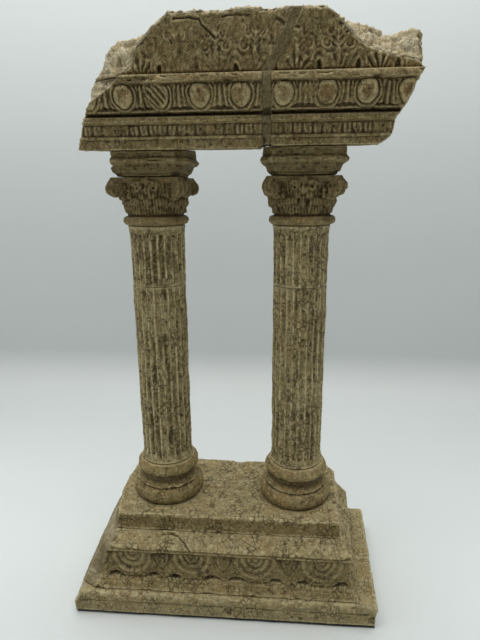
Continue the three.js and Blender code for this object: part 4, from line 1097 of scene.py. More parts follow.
def make_impost(cx, side, z_top, seed):
    lv = [(246.9, 16.6, 4.0), (248.2, 16.9, 4.0), (248.5, 18.2, 4.4), (250.6, 18.9, 4.6), (252.2, 19.6, 5.0), (252.8, 21.2, 5.2),
          (253.6, 22.0, 5.5), (255.0, 22.0, 5.5), (255.9, 21.0, 5.2), (z_top, 20.9, 5.2)]

    def octo(hw, ch):
        p = [(hw, hw - ch), (hw - ch, hw), (-(hw - ch), hw), (-hw, hw - ch), (-hw, -(hw - ch)), (-(hw - ch), -hw), (hw - ch, -hw), (hw, -(hw - ch))]
        return np.array([[cx + a, b] for a, b in p])
    polys = [(z, octo(hw, ch)) for z, hw, ch in lv]
    L = np.linalg.norm(np.roll(polys[4][1], -1, 0) - polys[4][1], axis=1)
    counts = [int(math.ceil(v / 0.42)) for v in L]
    rings, zs = [], []
    for k in range(len(polys) - 1):
        z0, p0 = polys[k]
        z1, p1 = polys[k + 1]
        d = math.hypot(z1 - z0, abs(p1[0][0] - p0[0][0]))
        n = max(1, int(round(d / 0.36)))
        for i in range(n):
            t = i / n
            rings.append(sample_ring(p0 * (1 - t) + p1 * t, counts))
            zs.append(z0 + (z1 - z0) * t)
    rings.append(sample_ring(polys[-1][1], counts))
    zs.append(z_top)

    def ins(ring, ts):
        c = np.array([cx, 0.0])
        return [ring * (1 - t) + c * t for t in ts]
    V, Q, T, nr = stack_to_mesh(ins(rings[0], [0.9, 0.6, 0.3, 0.1, 0.04]), rings, zs, ins(rings[-1], [0.04, 0.1, 0.3, 0.6, 0.9]))
    # the bed under the beam climbs to the rear
    lift = np.clip((V[:, 2] - 256.0) / (z_top - 256.0), 0, 1)
    V[:, 2] += lift * SOFFIT_RISE * (V[:, 1] - SOFFIT_Y0)
    if side == "left":
        V[:, 0] = np.where(V[:, 2] > 251.7, np.maximum(V[:, 0], -57.3 + 0.02 * np.abs(V[:, 1])), V[:, 0])
    M = len(rings[0])
    s = np.arange(M) / M
    arc = per_ring(s, nr)

    def relief(V, N):
        z = V[:, 2]
        band = sstep(248.5, 249.0, z) * sstep(252.6, 252.0, z)
        f = arc * 40
        f = f - np.floor(f) - 0.5
        tongue = sstep(0.42, 0.22, np.hypot(f, 0.30 * np.clip((250.0 - z), 0, 9)))
        h = band * (0.55 * tongue - 0.25) * (0.6 + 0.5 * vnoise(V, 5, seed + 2))
        h += -0.25 * gauss(z - 256.2, 0.5) - 0.3 * gauss(z - 252.4, 0.4) + (0.45 + 0.6 * gauss(z - 254.4, 1.4)) * fbm(V, 3.6, 3, seed + 31) - 0.6 * sstep(0.4, 0.8, vnoise(V, 2.8, seed + 32)) + 0.5 * fbm(V, 8, 2, seed + 33)
        h += 0.45 * fbm(V, 6, 3, seed + 7) - 0.1
        return h * sstep(0.5, 0.25, np.abs(N[:, 2]))

    def flat(V, N):
        return np.maximum(sstep(247.2, 247.0, V[:, 2]), sstep(0.93, 0.99, lift))
    zz = V[:, 2]
    # darker below the ledge, darkest at the narrow foot
    return build(f"impost_block_{side}_stone", [f"impost_block_{side}"], V, Q, T, seed, relief, keep_flat=flat, amp=1.1, chips=0.8,
                 masks={"dirt": np.maximum(sstep(253.0, 251.5, zz) * 0.4, 0.45 * sstep(249.6, 248.2, zz))})


# --------------------------------------------------------------- entablature
SOFFIT_RISE, SOFFIT_Y0 = 1 / 15, -24.0
EGGS = [-62.5, -45.1, -28.0, -9.2, 9.8, 29.4, 48.8, 66.6, 84.7]
LEAVES = [-54.5, -36.6, -19.2, -1.6, 16.2, 35.0, 53.5, 71.5]
DRILLS = [-45.4, -27.9, -10.6, 7.4, 25.2, 44.9, 62.2, 79.5]


# heights at which the carving below is written, against the heights of the finished courses
Z_CARVE = [250, 260, 264.2, 265.8, 266.1, 271.9, 273.0, 275.0, 275.3, 276.6, 277.2, 280.0, 284.0, 287.6, 288.2, 288.9, 289.3, 292.5, 293.0, 293.3, 303, 310, 316, 330]
Z_BUILT = [250, 260, 263.4, 264.8, 265.1, 270.3, 271.4, 273.4, 273.7, 275.1, 275.7, 278.4, 282.2, 285.5, 286.1, 287.0, 287.4, 290.2, 290.7, 291.0, 301.2, 309.5, 316, 330]


def carve_z(z):
    return np.interp(z, Z_BUILT, Z_CARVE)


def egg_relief(x, z):
    cen = np.array(EGGS)
    k = np.abs(x[:, None] - cen[None, :]).argmin(1)
    c = cen[k]
    u = x - c
    wide = 0.92 + 0.16 * hash01(k, k * 0, k * 0, 5)
    lo = np.where(k > 0, cen[np.maximum(k - 1, 0)], cen[0] - 18.4)
    hi = np.where(k < len(cen) - 1, cen[np.minimum(k + 1, len(cen) - 1)], cen[-1] + 18.4)
    half = np.where(u < 0, (c - lo) / 2, (hi - c) / 2)
    v = z - 284.6
    # an egg: blunt above, pointed below
    vv = np.where(v < 0, v / 7.0, v / 5.4)
    r = np.sqrt((u / wide) ** 2 + (vv * 5.4) ** 2)
    top = sstep(288.7, 288.0, z)
    hurt = sstep(7.0, 3.5, np.hypot(u + 1.5, v)) * (np.abs(c + 28.0) < 1)
    dome = np.sqrt(np.clip(1 - (r / 4.6) ** 2, 0, 1))
    P = np.stack([x, z, z * 0], -1)
    part = np.clip(0.75 + 0.7 * vnoise(P, 5, 37), 0.15, 1.1)
    h = 2.1 * dome - 0.8 * gauss(r - 4.95, 0.36) * part + 0.75 * gauss(r - 5.75, 0.42) * part - 0.6 * gauss(r - 6.6, 0.36) * part
    h -= 0.9 * gauss(np.hypot(u / 1.9, (v - 0.2) / 2.1), 1.0) * (0.3 + 0.9 * hash01(k, k * 0 + 1, k * 0, 5))
    h += 0.55 * vnoise(P, 2.2, 31) * sstep(4.8, 3.8, r)
    rust = gauss(r, 2.9)
    # upright ridges between the eggs
    w = half - np.abs(u)
    gate = sstep(6.5, 7.1, r)
    taper = 1 + 0.05 * (288 - z)
    h += part * (gate * 0.72 * np.cos(2 * math.pi * w / (1.95 * taper)) + gate * 0.35 * gauss(w, 0.7))
    diag = np.cos(2 * math.pi * (u * 0.78 + v * 0.62) / 2.3)
    h = h * (1 - hurt) + hurt * (0.55 * diag - 0.2)
    rust = rust * (1 - hurt * 0.8)
    h *= top * sstep(276.2, 277.6, z)
    # ragged underside, cut back deepest between the eggs
    scal = 278.5 - 1.9 * np.clip(1 - (np.abs(u) / 6.4) ** 2, 0, 1) + 0.5 * vnoise(P, 7, 33)
    cut = sstep(scal + 0.9, scal - 0.4, z)
    h -= 2.0 * cut
    ring = gauss(r - 3.9, 0.9) * top
    fil = sstep(288.9, 289.4, z)
    h += fil * (0.45 * fbm(P, 3.2, 3, 38) - 0.7 * sstep(0.35, 0.8, vnoise(P, 3.4, 39)) - 0.45 * sstep(291.0, 292.6, z))
    worn = np.clip(0.6 + 0.7 * vnoise(P, 6, 35), 0.1, 1.0)
    # pale: painted highlight on the egg rims, raised parts and fillet, with worn paint; deep: painted shade in the
    # cut-back underside
    return h, rust * top, {"pale": worn * (0.85 * ring + 0.35 * sstep(0.25, 0.9, h) * top + 0.38 * fil), "deep": 0.9 * cut}


def tongue_relief(x, z):
    f = (x + 79.4) / 4.62
    f = f - np.floor(f + 0.5)
    u = f * 4.62
    v = z - 268.3
    low = np.where(v < 0, v, 0)
    d = np.sqrt((u / 1.75) ** 2 + (low / 2.1) ** 2)
    inside = sstep(1.15, 0.80, d) * sstep(271.9, 271.1, z)
    h = 0.55 * inside - 0.30 * gauss(u, 0.55) * inside - 0.15
    P = np.stack([x, z, z * 0], -1)
    worn = np.clip(0.75 + 0.6 * vnoise(P, 13, 71) + 0.35 * vnoise(P, 4, 72), 0.25, 1.15)
    h = h * worn * sstep(265.9, 266.6, z) * sstep(272.1, 271.5, z)
    # painted highlight on the raised tongues, painted shade between them
    return h * 1.3, 0.0 * x, {"pale": 0.50 * sstep(0.15, 0.5, h), "deep": 0.4 * sstep(-0.02, -0.15, h)}


def acanthus_relief(x, z):
    h = np.zeros_like(x)
    rust = np.zeros_like(x)
    cen = np.array(LEAVES)
    k = np.abs(x[:, None] - cen[None, :]).argmin(1)
    u, v = x - cen[k], z - 293.4
    tilt = 0.10 * (hash01(k, k * 0, k * 0, 15) - 0.5)
    u = u + tilt * v
    au = np.abs(u)
    # lower tier: a fan of ribs that opens upward from the foot
    th = np.arctan2(au, v + 1.5)
    r = np.hypot(au, v + 1.5)
    rmax = 10.4 - 1.3 * np.abs(np.sin(th * 4.6)) - 1.2 * th
    fan = sstep(rmax + 0.5, rmax - 0.6, r)
    h += fan * (0.45 + 0.62 * np.cos(th * 13.5) * sstep(1.5, 4.5, r) + 0.25 * gauss(r - rmax + 0.9, 0.7))
    # two fronds that curl outward above it
    for cu, cv, rr in ((4.9, 10.6, 2.1), (3.3, 14.6, 1.6)):
        dd = np.hypot(au - cu, v - cv)
        curl = 0.85 * gauss(dd - rr, 0.55) + 0.55 * gauss(dd, 0.7) - 0.45 * gauss(dd - rr * 0.5, 0.4)
        h = np.where(dd < rr + 1.3, np.maximum(h * 0.25, curl), h)
        rust = np.maximum(rust, 0.4 * gauss(dd, rr))
    # stem between them with side barbs, ending in a worn knob
    stem = gauss(au, 0.95) * sstep(6.5, 8.5, v) * sstep(16.2, 14.8, v)
    barb = 0.35 * np.cos(2 * math.pi * (v - 0.9 * au) / 2.3) * sstep(8.5, 9.5, v) * sstep(15.5, 14.5, v) * sstep(3.6, 2.6, au)
    h += 0.95 * stem + barb
    h += 0.55 * gauss(np.hypot(au, v - 15.2), 1.4)
    for c in DRILLS:
        uu = x - c
        d1 = np.hypot(uu, 0.55 * (z - 294.4))
        arch = sstep(4.9, 4.2, d1) * sstep(303.5, 301.0, z)
        h = h * (1 - arch * 0.9) + arch * (0.20 + 0.30 * np.cos(2 * math.pi * (d1 - 1.9) / 2.0))
        # a plain upright rib over the arch
        h += 0.5 * gauss(uu, 0.8) * sstep(302, 304, z) * sstep(309, 307, z)
        d = np.hypot(uu / 1.0, (z - 295.0) / 2.6)
        h -= 3.0 * sstep(1.15, 0.75, d)
    fade = sstep(310.8, 307.5, z)
    P = np.stack([x, z, z * 0], -1)
    worn = np.clip(0.80 + 0.45 * vnoise(P, 9, 75) + 0.2 * vnoise(P, 3, 76), 0.2, 1.15)
    h = h * fade * worn
    # painted highlight on the raised leaves, painted shade in their hollows
    return h, rust * fade, {"pale": 0.5 * sstep(0.45, 1.0, h) + 0.12 * fade, "deep": 0.2 * sstep(0.0, -0.6, h) * fade}


def box_lat(ns, na, nb, sgrid=None):
    L, Q = box_lattice(ns, na, nb)
    if sgrid is not None:
        L[:, 0] = np.interp(L[:, 0], np.linspace(0, 1, ns), sgrid)
    return L[:, 0], L[:, 1], L[:, 2], Q


def prof_at(profile, b):
    P = np.array(profile, dtype=float)
    s = np.concatenate([[0], np.cumsum(np.linalg.norm(np.diff(P, axis=0), axis=1))])
    s /= s[-1]
    return np.interp(b, s, P[:, 0]), np.interp(b, s, P[:, 1])


def seam_mask(V):
    """How much grey mortar is smeared over the stone beside the break."""
    d = np.abs(V[:, 0] - break_x(V[:, 2])) - 1.9
    ragged = 1.3 + 1.9 * fbm(V, 5.5, 3, 811)
    return sstep(ragged + 0.9, ragged - 0.9, d)


REAR = 29.9


def entablature_piece(name, node, side, profile, seed, relief_fn, ns, na, nb, frac_top=False):
    s, a, b, Q = box_lat(ns, na, nb)
    f, z = prof_at(profile, b)
    back = np.minimum(-f, REAR)
    y = f * (1 - a) + back * a
    if side == "left":
        x0, x1 = left_end(y, z), break_x(z) - SEAM_HALF
    else:
        x0, x1 = break_x(z) + SEAM_HALF, right_end(y, z)
    x = x0 + (x1 - x0) * s
    V = np.stack([x, y, z], -1)
    if side == "right":
        lim = top_height(np.maximum(x, 60), y)
        V[:, 2] = np.where(x > 60, np.minimum(z, lim), z)
    if node == "architrave":
        # the underside climbs to the rear
        zs = profile[0][1] + SOFFIT_RISE * (V[:, 1] - SOFFIT_Y0)
        k = np.clip((263.4 - V[:, 2]) / (263.4 - profile[0][1]), 0, 1)
        V[:, 2] = np.where(V[:, 2] < 263.4, zs * k + 263.4 * (1 - k), V[:, 2])
        if side == "left":
            # notch over the edge of the right impost
            V[:, 2] = np.maximum(V[:, 2], np.where(V[:, 0] > 17.45, 260.1 + SOFFIT_RISE * (V[:, 1] - SOFFIT_Y0), 0))
    dist = (x - x0) if side == "left" else (x1 - x)
    fr = sstep(1.3, 0.2, dist)
    seam_end = (s > 0.9999) if side == "left" else (s < 0.0001)

    def relief(V, N):
        facing = sstep(0.35, 0.75, np.abs(N[:, 1]))
        ret = relief_fn(V[:, 0] + 0.55 * fbm(V, 4.5, 2, seed + 7), carve_z(V[:, 2]) + 0.38 * fbm(V, 4.5, 2, seed + 8))
        rust, more = np.zeros(len(V)), {}
        if isinstance(ret, tuple):
            ret, rust, more = ret
        jag = 0.90 + 0.32 * vnoise(V, 10, seed + 9)
        h = ret * facing * jag * (1 - fr)
        h += facing * (0.34 * fbm(V, 3.4, 3, seed + 21) - 0.25 * sstep(0.45, 0.8, vnoise(V, 2.6, seed + 22)))
        if node == "egg":
            for bx, bz, bw in ((-45, 288.4, 6.0), (-37, 288.6, 5.0), (-31, 289.2, 3.5), (-25, 290, 2.0), (4, 287.3, 3.0), (47, 290.2, 4.0), (70, 287.4, 3.0)):
                h += blob(V, (bx, -33, bz), (bw, 3.5, 1.5), 1.25) * (0.7 + 0.5 * vnoise(V, 2.5, 44))
        m = seam_mask(V)
        h = h * (1 - 0.75 * m)
        out = {"rust": rust * facing * (1 - m), "mort": m}
        for key, val in more.items():
            out[key] = val * facing * (1 - m) * (1 - fr)
        return h, out

    def flat(V, N):
        lo, hi = profile[0][1], profile[-1][1]
        f = sstep(lo + 0.45, lo + 0.1, V[:, 2]) * sstep(-0.75, -0.95, N[:, 2]) * (0.0 if node == "architrave" else 1.0)
        f = np.maximum(f, sstep(hi - 0.45, hi - 0.1, V[:, 2]) * sstep(0.75, 0.95, N[:, 2]))
        return np.maximum(f, seam_end * 0.85)
    return build(f"{name}_stone", [name], V, Q, None, seed, relief, fr, keep_flat=flat, frac_amp=0.9, chips=0.75)


def make_architrave(side, seed):
    z0 = 259.0 if side == "left" else 260.1
    prof = [[-24.0, z0], [-24.0, 263.4], [-24.8, 263.8], [-24.8, 264.8], [-23.4, 265.1], [-23.4, 270.3], [-25.4, 270.7], [-26.8, 271.4], [-26.8, 273.5]]

    def rel(x, z):
        h, rust, more = tongue_relief(x, z)
        h = h - 0.25 * gauss(z - 264.2, 0.3)
        return h, rust, more
    ns, na, nb = (228, 84, 58) if side == "left" else (156, 84, 58)
    return entablature_piece(f"architrave_{side}", "architrave", side, prof, seed, rel, ns, na, nb)


def make_eggs(side, seed):
    prof = [[-23.2, 273.7], [-23.2, 275.1], [-26.0, 275.7], [-28.4, 278.4], [-30.2, 282.2], [-31.0, 285.5],
            [-30.4, 286.1], [-30.4, 287.0], [-33.2, 287.4], [-33.2, 290.2], [-32.6, 290.7]]
    ns, na, nb = (240, 62, 84) if side == "left" else (184, 62, 84)
    return entablature_piece(f"egg_and_dart_course_{side}", "egg", side, prof, seed, egg_relief, ns, na, nb)


FRIEZE = [[-27.6, 291.0], [-27.6, 294.5], [-28.2, 301], [-29.0, 306], [-29.8, 310], [-30.2, 313], [-30.2, 324]]


def make_acanthus(side, seed):
    ns, na, nb = (226, 92, 64) if side == "left" else (168, 92, 64)
    s, a, b, Q = box_lat(ns, na, nb)
    ys = np.linspace(-34, 31, 131)
    xs = np.linspace(-70, 92, 1621)
    ends = np.empty(len(ys))
    for i, yv in enumerate(ys):
        t = top_height(xs, np.full(len(xs), yv))
        ok = xs[t > 291.6]
        ends[i] = ok.min() if side == "left" else ok.max()
    P = np.array(FRIEZE)
    z = 291.0 + b * 20
    for _ in range(14):
        f = np.interp(z, P[:, 1], P[:, 0])
        back = np.minimum(-f, REAR)
        y = f * (1 - a) + back * a
        end = np.interp(y, ys, ends)
        if side == "left":
            x0, x1 = end, break_x(z) - SEAM_HALF
        else:
            x0, x1 = break_x(z) + SEAM_HALF, np.minimum(end, right_end(y, z))
        x = x0 + (x1 - x0) * s
        T = np.maximum(top_height(x, y), 291.3)
        z = 0.5 * z + 0.5 * (291.0 + b * (T - 291.0))
    V = np.stack([x, y, z], -1)
    dist = (x - x0) if side == "left" else (x1 - x)
    depth = (T - z)
    fr = np.maximum(sstep(1.4, 0.2, dist), sstep(2.2, 0.6, depth))
    fr = np.where((b < 0.001) & (dist > 1.5), 0, fr)
    seam_end = (s > 0.9999) if side == "left" else (s < 0.0001)

    def relief(V, N):
        facing = sstep(0.35, 0.75, np.abs(N[:, 1]))
        ret, rust, more = acanthus_relief(V[:, 0] + 0.6 * fbm(V, 4.5, 2, seed + 7), carve_z(V[:, 2]) + 0.5 * fbm(V, 4.5, 2, seed + 8))
        keep = np.clip(0.85 + 0.75 * vnoise(V, 7, seed + 9), 0.12, 1.35)
        keep = keep * (1 - 0.45 * sstep(300, 304, V[:, 2]))
        h = ret * keep + 0.50 * fbm(V, 2.6, 2, seed + 10) + 0.45 * fbm(V, 6.0, 2, seed + 11)
        more = {k: v * np.clip(keep, 0, 1) for k, v in more.items()}
        plain = sstep(306.5, 310, V[:, 2])
        h += plain * (0.5 * fbm(V, 7, 3, seed + 12) + 0.25 * fbm(V, 2, 2, seed + 13))
        d = seg_dist(V[:, 0] + 0.8 * fbm(V, 3, 2, seed + 14), V[:, 2] + 0.8 * fbm(V, 3, 2, seed + 15),
                     [(-20, 312.9), (-13, 313.4), (-8.5, 312.4), (-4.5, 308.5), (-1.5, 305.6)])
        h -= 1.3 * sstep(0.8, 0.2, d) * (V[:, 1] < 0)
        d = seg_dist(V[:, 0] + 0.8 * fbm(V, 3, 2, seed + 14), V[:, 2], [(2, 313.4), (8, 314.2), (13, 313.6)])
        h -= 0.7 * sstep(0.8, 0.3, d) * (V[:, 1] < 0)
        d = seg_dist(V[:, 0] + 0.8 * fbm(V, 3, 2, seed + 14), V[:, 2], [(26, 312), (31, 309), (36, 308.5)])
        h -= 0.9 * sstep(0.9, 0.3, d) * (V[:, 1] < 0)
        # the frieze keeps a slot above the fillet, cut in and given painted shadow
        slot = gauss(V[:, 2] - 291.6, 0.8) * np.clip(0.75 + 0.6 * vnoise(V, 9, seed + 17), 0.2, 1.2)
        h -= 2.2 * slot
        m = seam_mask(V) * sstep(0.3, 0.6, facing + 0.2)
        h = h * facing * (1 - fr) * (1 - 0.75 * m)
        # the plain upper frieze is darkened a little
        out = {"rust": rust * facing * (1 - m), "mort": m * 0.85, "dirt": plain * 0.15 * facing}
        for key, val in more.items():
            out[key] = val * facing * (1 - m) * (1 - fr)
        out["pale"] = out["pale"] + 0.5 * sstep(2.6, 0.8, depth) * (1 - fr) * facing
        out["deep"] = out["deep"] + 0.75 * slot * facing * (1 - m)
        # the broken top is pitted, with painted shade in the pits
        pits = sstep(0.30, 0.75, vnoise(V, 3.0, seed + 18)) * fr
        h -= 1.1 * pits
        h += 0.5 * fr * vnoise(V, 1.7, seed + 19)
        out["deep"] = out["deep"] + 0.5 * pits
        return h, out

    def flat(V, N):
        f = sstep(291.5, 291.1, V[:, 2]) * sstep(-0.75, -0.95, N[:, 2])
        return np.maximum(f, seam_end * 0.85)
    name = f"acanthus_course_{side}"
    return build(f"{name}_stone", [name], V, Q, None, seed, relief, fr, keep_flat=flat, frac_amp=1.0, chips=0.4)


def make_mortar():
    # profile of the front as the mortar meets it, a little behind the mouldings
    PZ = [260.7, 264, 265.8, 266.3, 271.5, 273.0, 275.0, 276.4, 278.5, 282, 287.5, 289.3, 292.6, 294.0, 297, 303, 309, 315.4]
    PY = [-23.7, -23.7, -24.4, -23.6, -23.8, -26.0, -26.0, -24.8, -27.0, -29.4, -30.6, -32.2, -32.0, -28.4, -27.8, -28.6, -29.4, -28.6]
    ns, na, nb = 15, 96, 150
    s, a, b, Q = box_lat(ns, na, nb)
    PZ = np.interp(PZ, Z_CARVE, Z_BUILT)
    z = 260.6 + b * 55.0
    f = np.interp(z, PZ, PY) + 0.5
    back = np.minimum(-f, REAR - 0.6)
    y = f * (1 - a) + back * a
    top = top_height(break_x(z), y) - 0.5
    z = 260.6 + b * (top - 260.6)
    f = np.interp(z, PZ, PY) - 0.15
    back = np.minimum(-f, REAR - 0.2)
    y = f * (1 - a) + back * a
    # the outer skin is wiped over the stone on both sides
    skin = ((a < 0.001) | (a > 0.999)) & (z > 262.5) & (z < top - 1.5)
    x = break_x(z) + (s * 2 - 1) * (1.9 + skin * np.interp(z, [286, 292], [0.15, 0.7]))
    low = 260.6 + SOFFIT_RISE * (y - SOFFIT_Y0)
    z = np.maximum(z, low + (z - 260.6) * 0.02)
    V = np.stack([x, y, z], -1)

    def relief(V, N):
        facing = sstep(0.3, 0.7, np.abs(N[:, 1]))
        h = facing * (0.15 + 0.45 * fbm(V, 5, 3, 901) + 0.25 * fbm(V, 1.6, 2, 902))
        h -= facing * 1.7 * gauss(np.hypot(V[:, 0] - 19.8, (V[:, 2] - 262.5) / 1.6), 1.3)
        h -= facing * 1.4 * gauss((V[:, 2] - 274.9) / 1.4, 1.0)
        return h

    def flat(V, N):
        return sstep(0.6, 0.9, np.abs(N[:, 0]))
    return build("mortar_seam_fill", ["mortar_seam"], V, Q, None, 71, relief, keep_flat=flat, amp=0.6, chips=0.2,
                 masks={"mort": np.ones(len(V))})
# ------------------------------------------------------------------ materials
class Graph:
    """Small helper for building node materials."""

    def __init__(self, name):
        self.mat = bpy.data.materials.new(name)
        self.mat.use_nodes = True
        self.nt = self.mat.node_tree
        self.nt.nodes.clear()
        self.out = self.nt.nodes.new("ShaderNodeOutputMaterial")
        self.bsdf = self.nt.nodes.new("ShaderNodeBsdfPrincipled")
        self.nt.links.new(self.bsdf.outputs[0], self.out.inputs[0])

    def put(self, sock, value):
        if hasattr(value, "is_output") or hasattr(value, "node"):
            self.nt.links.new(value, sock)
        else:
            sock.default_value = value

    def math(self, op, a, b=None, c=None, clamp=False):
        n = self.nt.nodes.new("ShaderNodeMath")
        n.operation = op
        n.use_clamp = clamp
        self.put(n.inputs[0], a)
        if b is not None:
            self.put(n.inputs[1], b)
        if c is not None:
            self.put(n.inputs[2], c)
        return n.outputs[0]

    def vmath(self, op, a, b=None, scale=None):
        n = self.nt.nodes.new("ShaderNodeVectorMath")
        n.operation = op
        self.put(n.inputs[0], a)
        if b is not None:
            self.put(n.inputs[1], b)
        if scale is not None:
            self.put(n.inputs["Scale"], scale)
        return n.outputs[0]

    def noise(self, vec, scale, detail=3.0, rough=0.5, colour=False):
        n = self.nt.nodes.new("ShaderNodeTexNoise")
        n.noise_dimensions = "3D"
        self.put(n.inputs["Vector"], vec)
        n.inputs["Scale"].default_value = scale
        n.inputs["Detail"].default_value = detail
        n.inputs["Roughness"].default_value = rough
        return n.outputs["Color"] if colour else n.outputs[0]

    def voronoi_edge(self, vec, scale):
        n = self.nt.nodes.new("ShaderNodeTexVoronoi")
        n.voronoi_dimensions = "3D"
        n.feature = "DISTANCE_TO_EDGE"
        self.put(n.inputs["Vector"], vec)
        n.inputs["Scale"].default_value = scale
        return n.outputs["Distance"]

    def voronoi_cell(self, vec, scale):
        n = self.nt.nodes.new("ShaderNodeTexVoronoi")
        n.voronoi_dimensions = "3D"
        n.feature = "F1"
        self.put(n.inputs["Vector"], vec)
        n.inputs["Scale"].default_value = scale
        return n.outputs["Color"]

    def remap(self, v, a, b, lo=0.0, hi=1.0, smooth=True):
        n = self.nt.nodes.new("ShaderNodeMapRange")
        n.interpolation_type = "SMOOTHSTEP" if smooth else "LINEAR"
        n.clamp = True
        self.put(n.inputs["Value"], v)
        self.put(n.inputs["From Min"], a)
        self.put(n.inputs["From Max"], b)
        self.put(n.inputs["To Min"], lo)
        self.put(n.inputs["To Max"], hi)
        return n.outputs["Result"]

    def mix(self, fac, a, b, blend="MIX"):
        n = self.nt.nodes.new("ShaderNodeMix")
        n.data_type = "RGBA"
        n.blend_type = blend
        n.clamp_factor = True
        self.put(n.inputs[0], fac)
        self.put(n.inputs[6], a)
        self.put(n.inputs[7], b)
        return n.outputs[2]

    def attr(self, name):
        n = self.nt.nodes.new("ShaderNodeAttribute")
        n.attribute_type = "GEOMETRY"
        n.attribute_name = name
        return n.outputs["Fac"]

    def sep(self, vec):
        n = self.nt.nodes.new("ShaderNodeSeparateXYZ")
        self.put(n.inputs[0], vec)
        return n.outputs

    def comb(self, x, y, z):
        n = self.nt.nodes.new("ShaderNodeCombineXYZ")
        for k, v in enumerate((x, y, z)):
            self.put(n.inputs[k], v)
        return n.outputs[0]

    def mm(self):
        n = self.nt.nodes.new("ShaderNodeTexCoord")
        return self.vmath("SCALE", n.outputs["Object"], scale=1000.0)


def rgb(r, g, b):
    """Linear colour from 0..255 screen values."""
    def lin(c):
        c /= 255.0
        return c / 12.92 if c <= 0.04045 else ((c + 0.055) / 1.055) ** 2.4
    return (lin(r), lin(g), lin(b), 1.0)


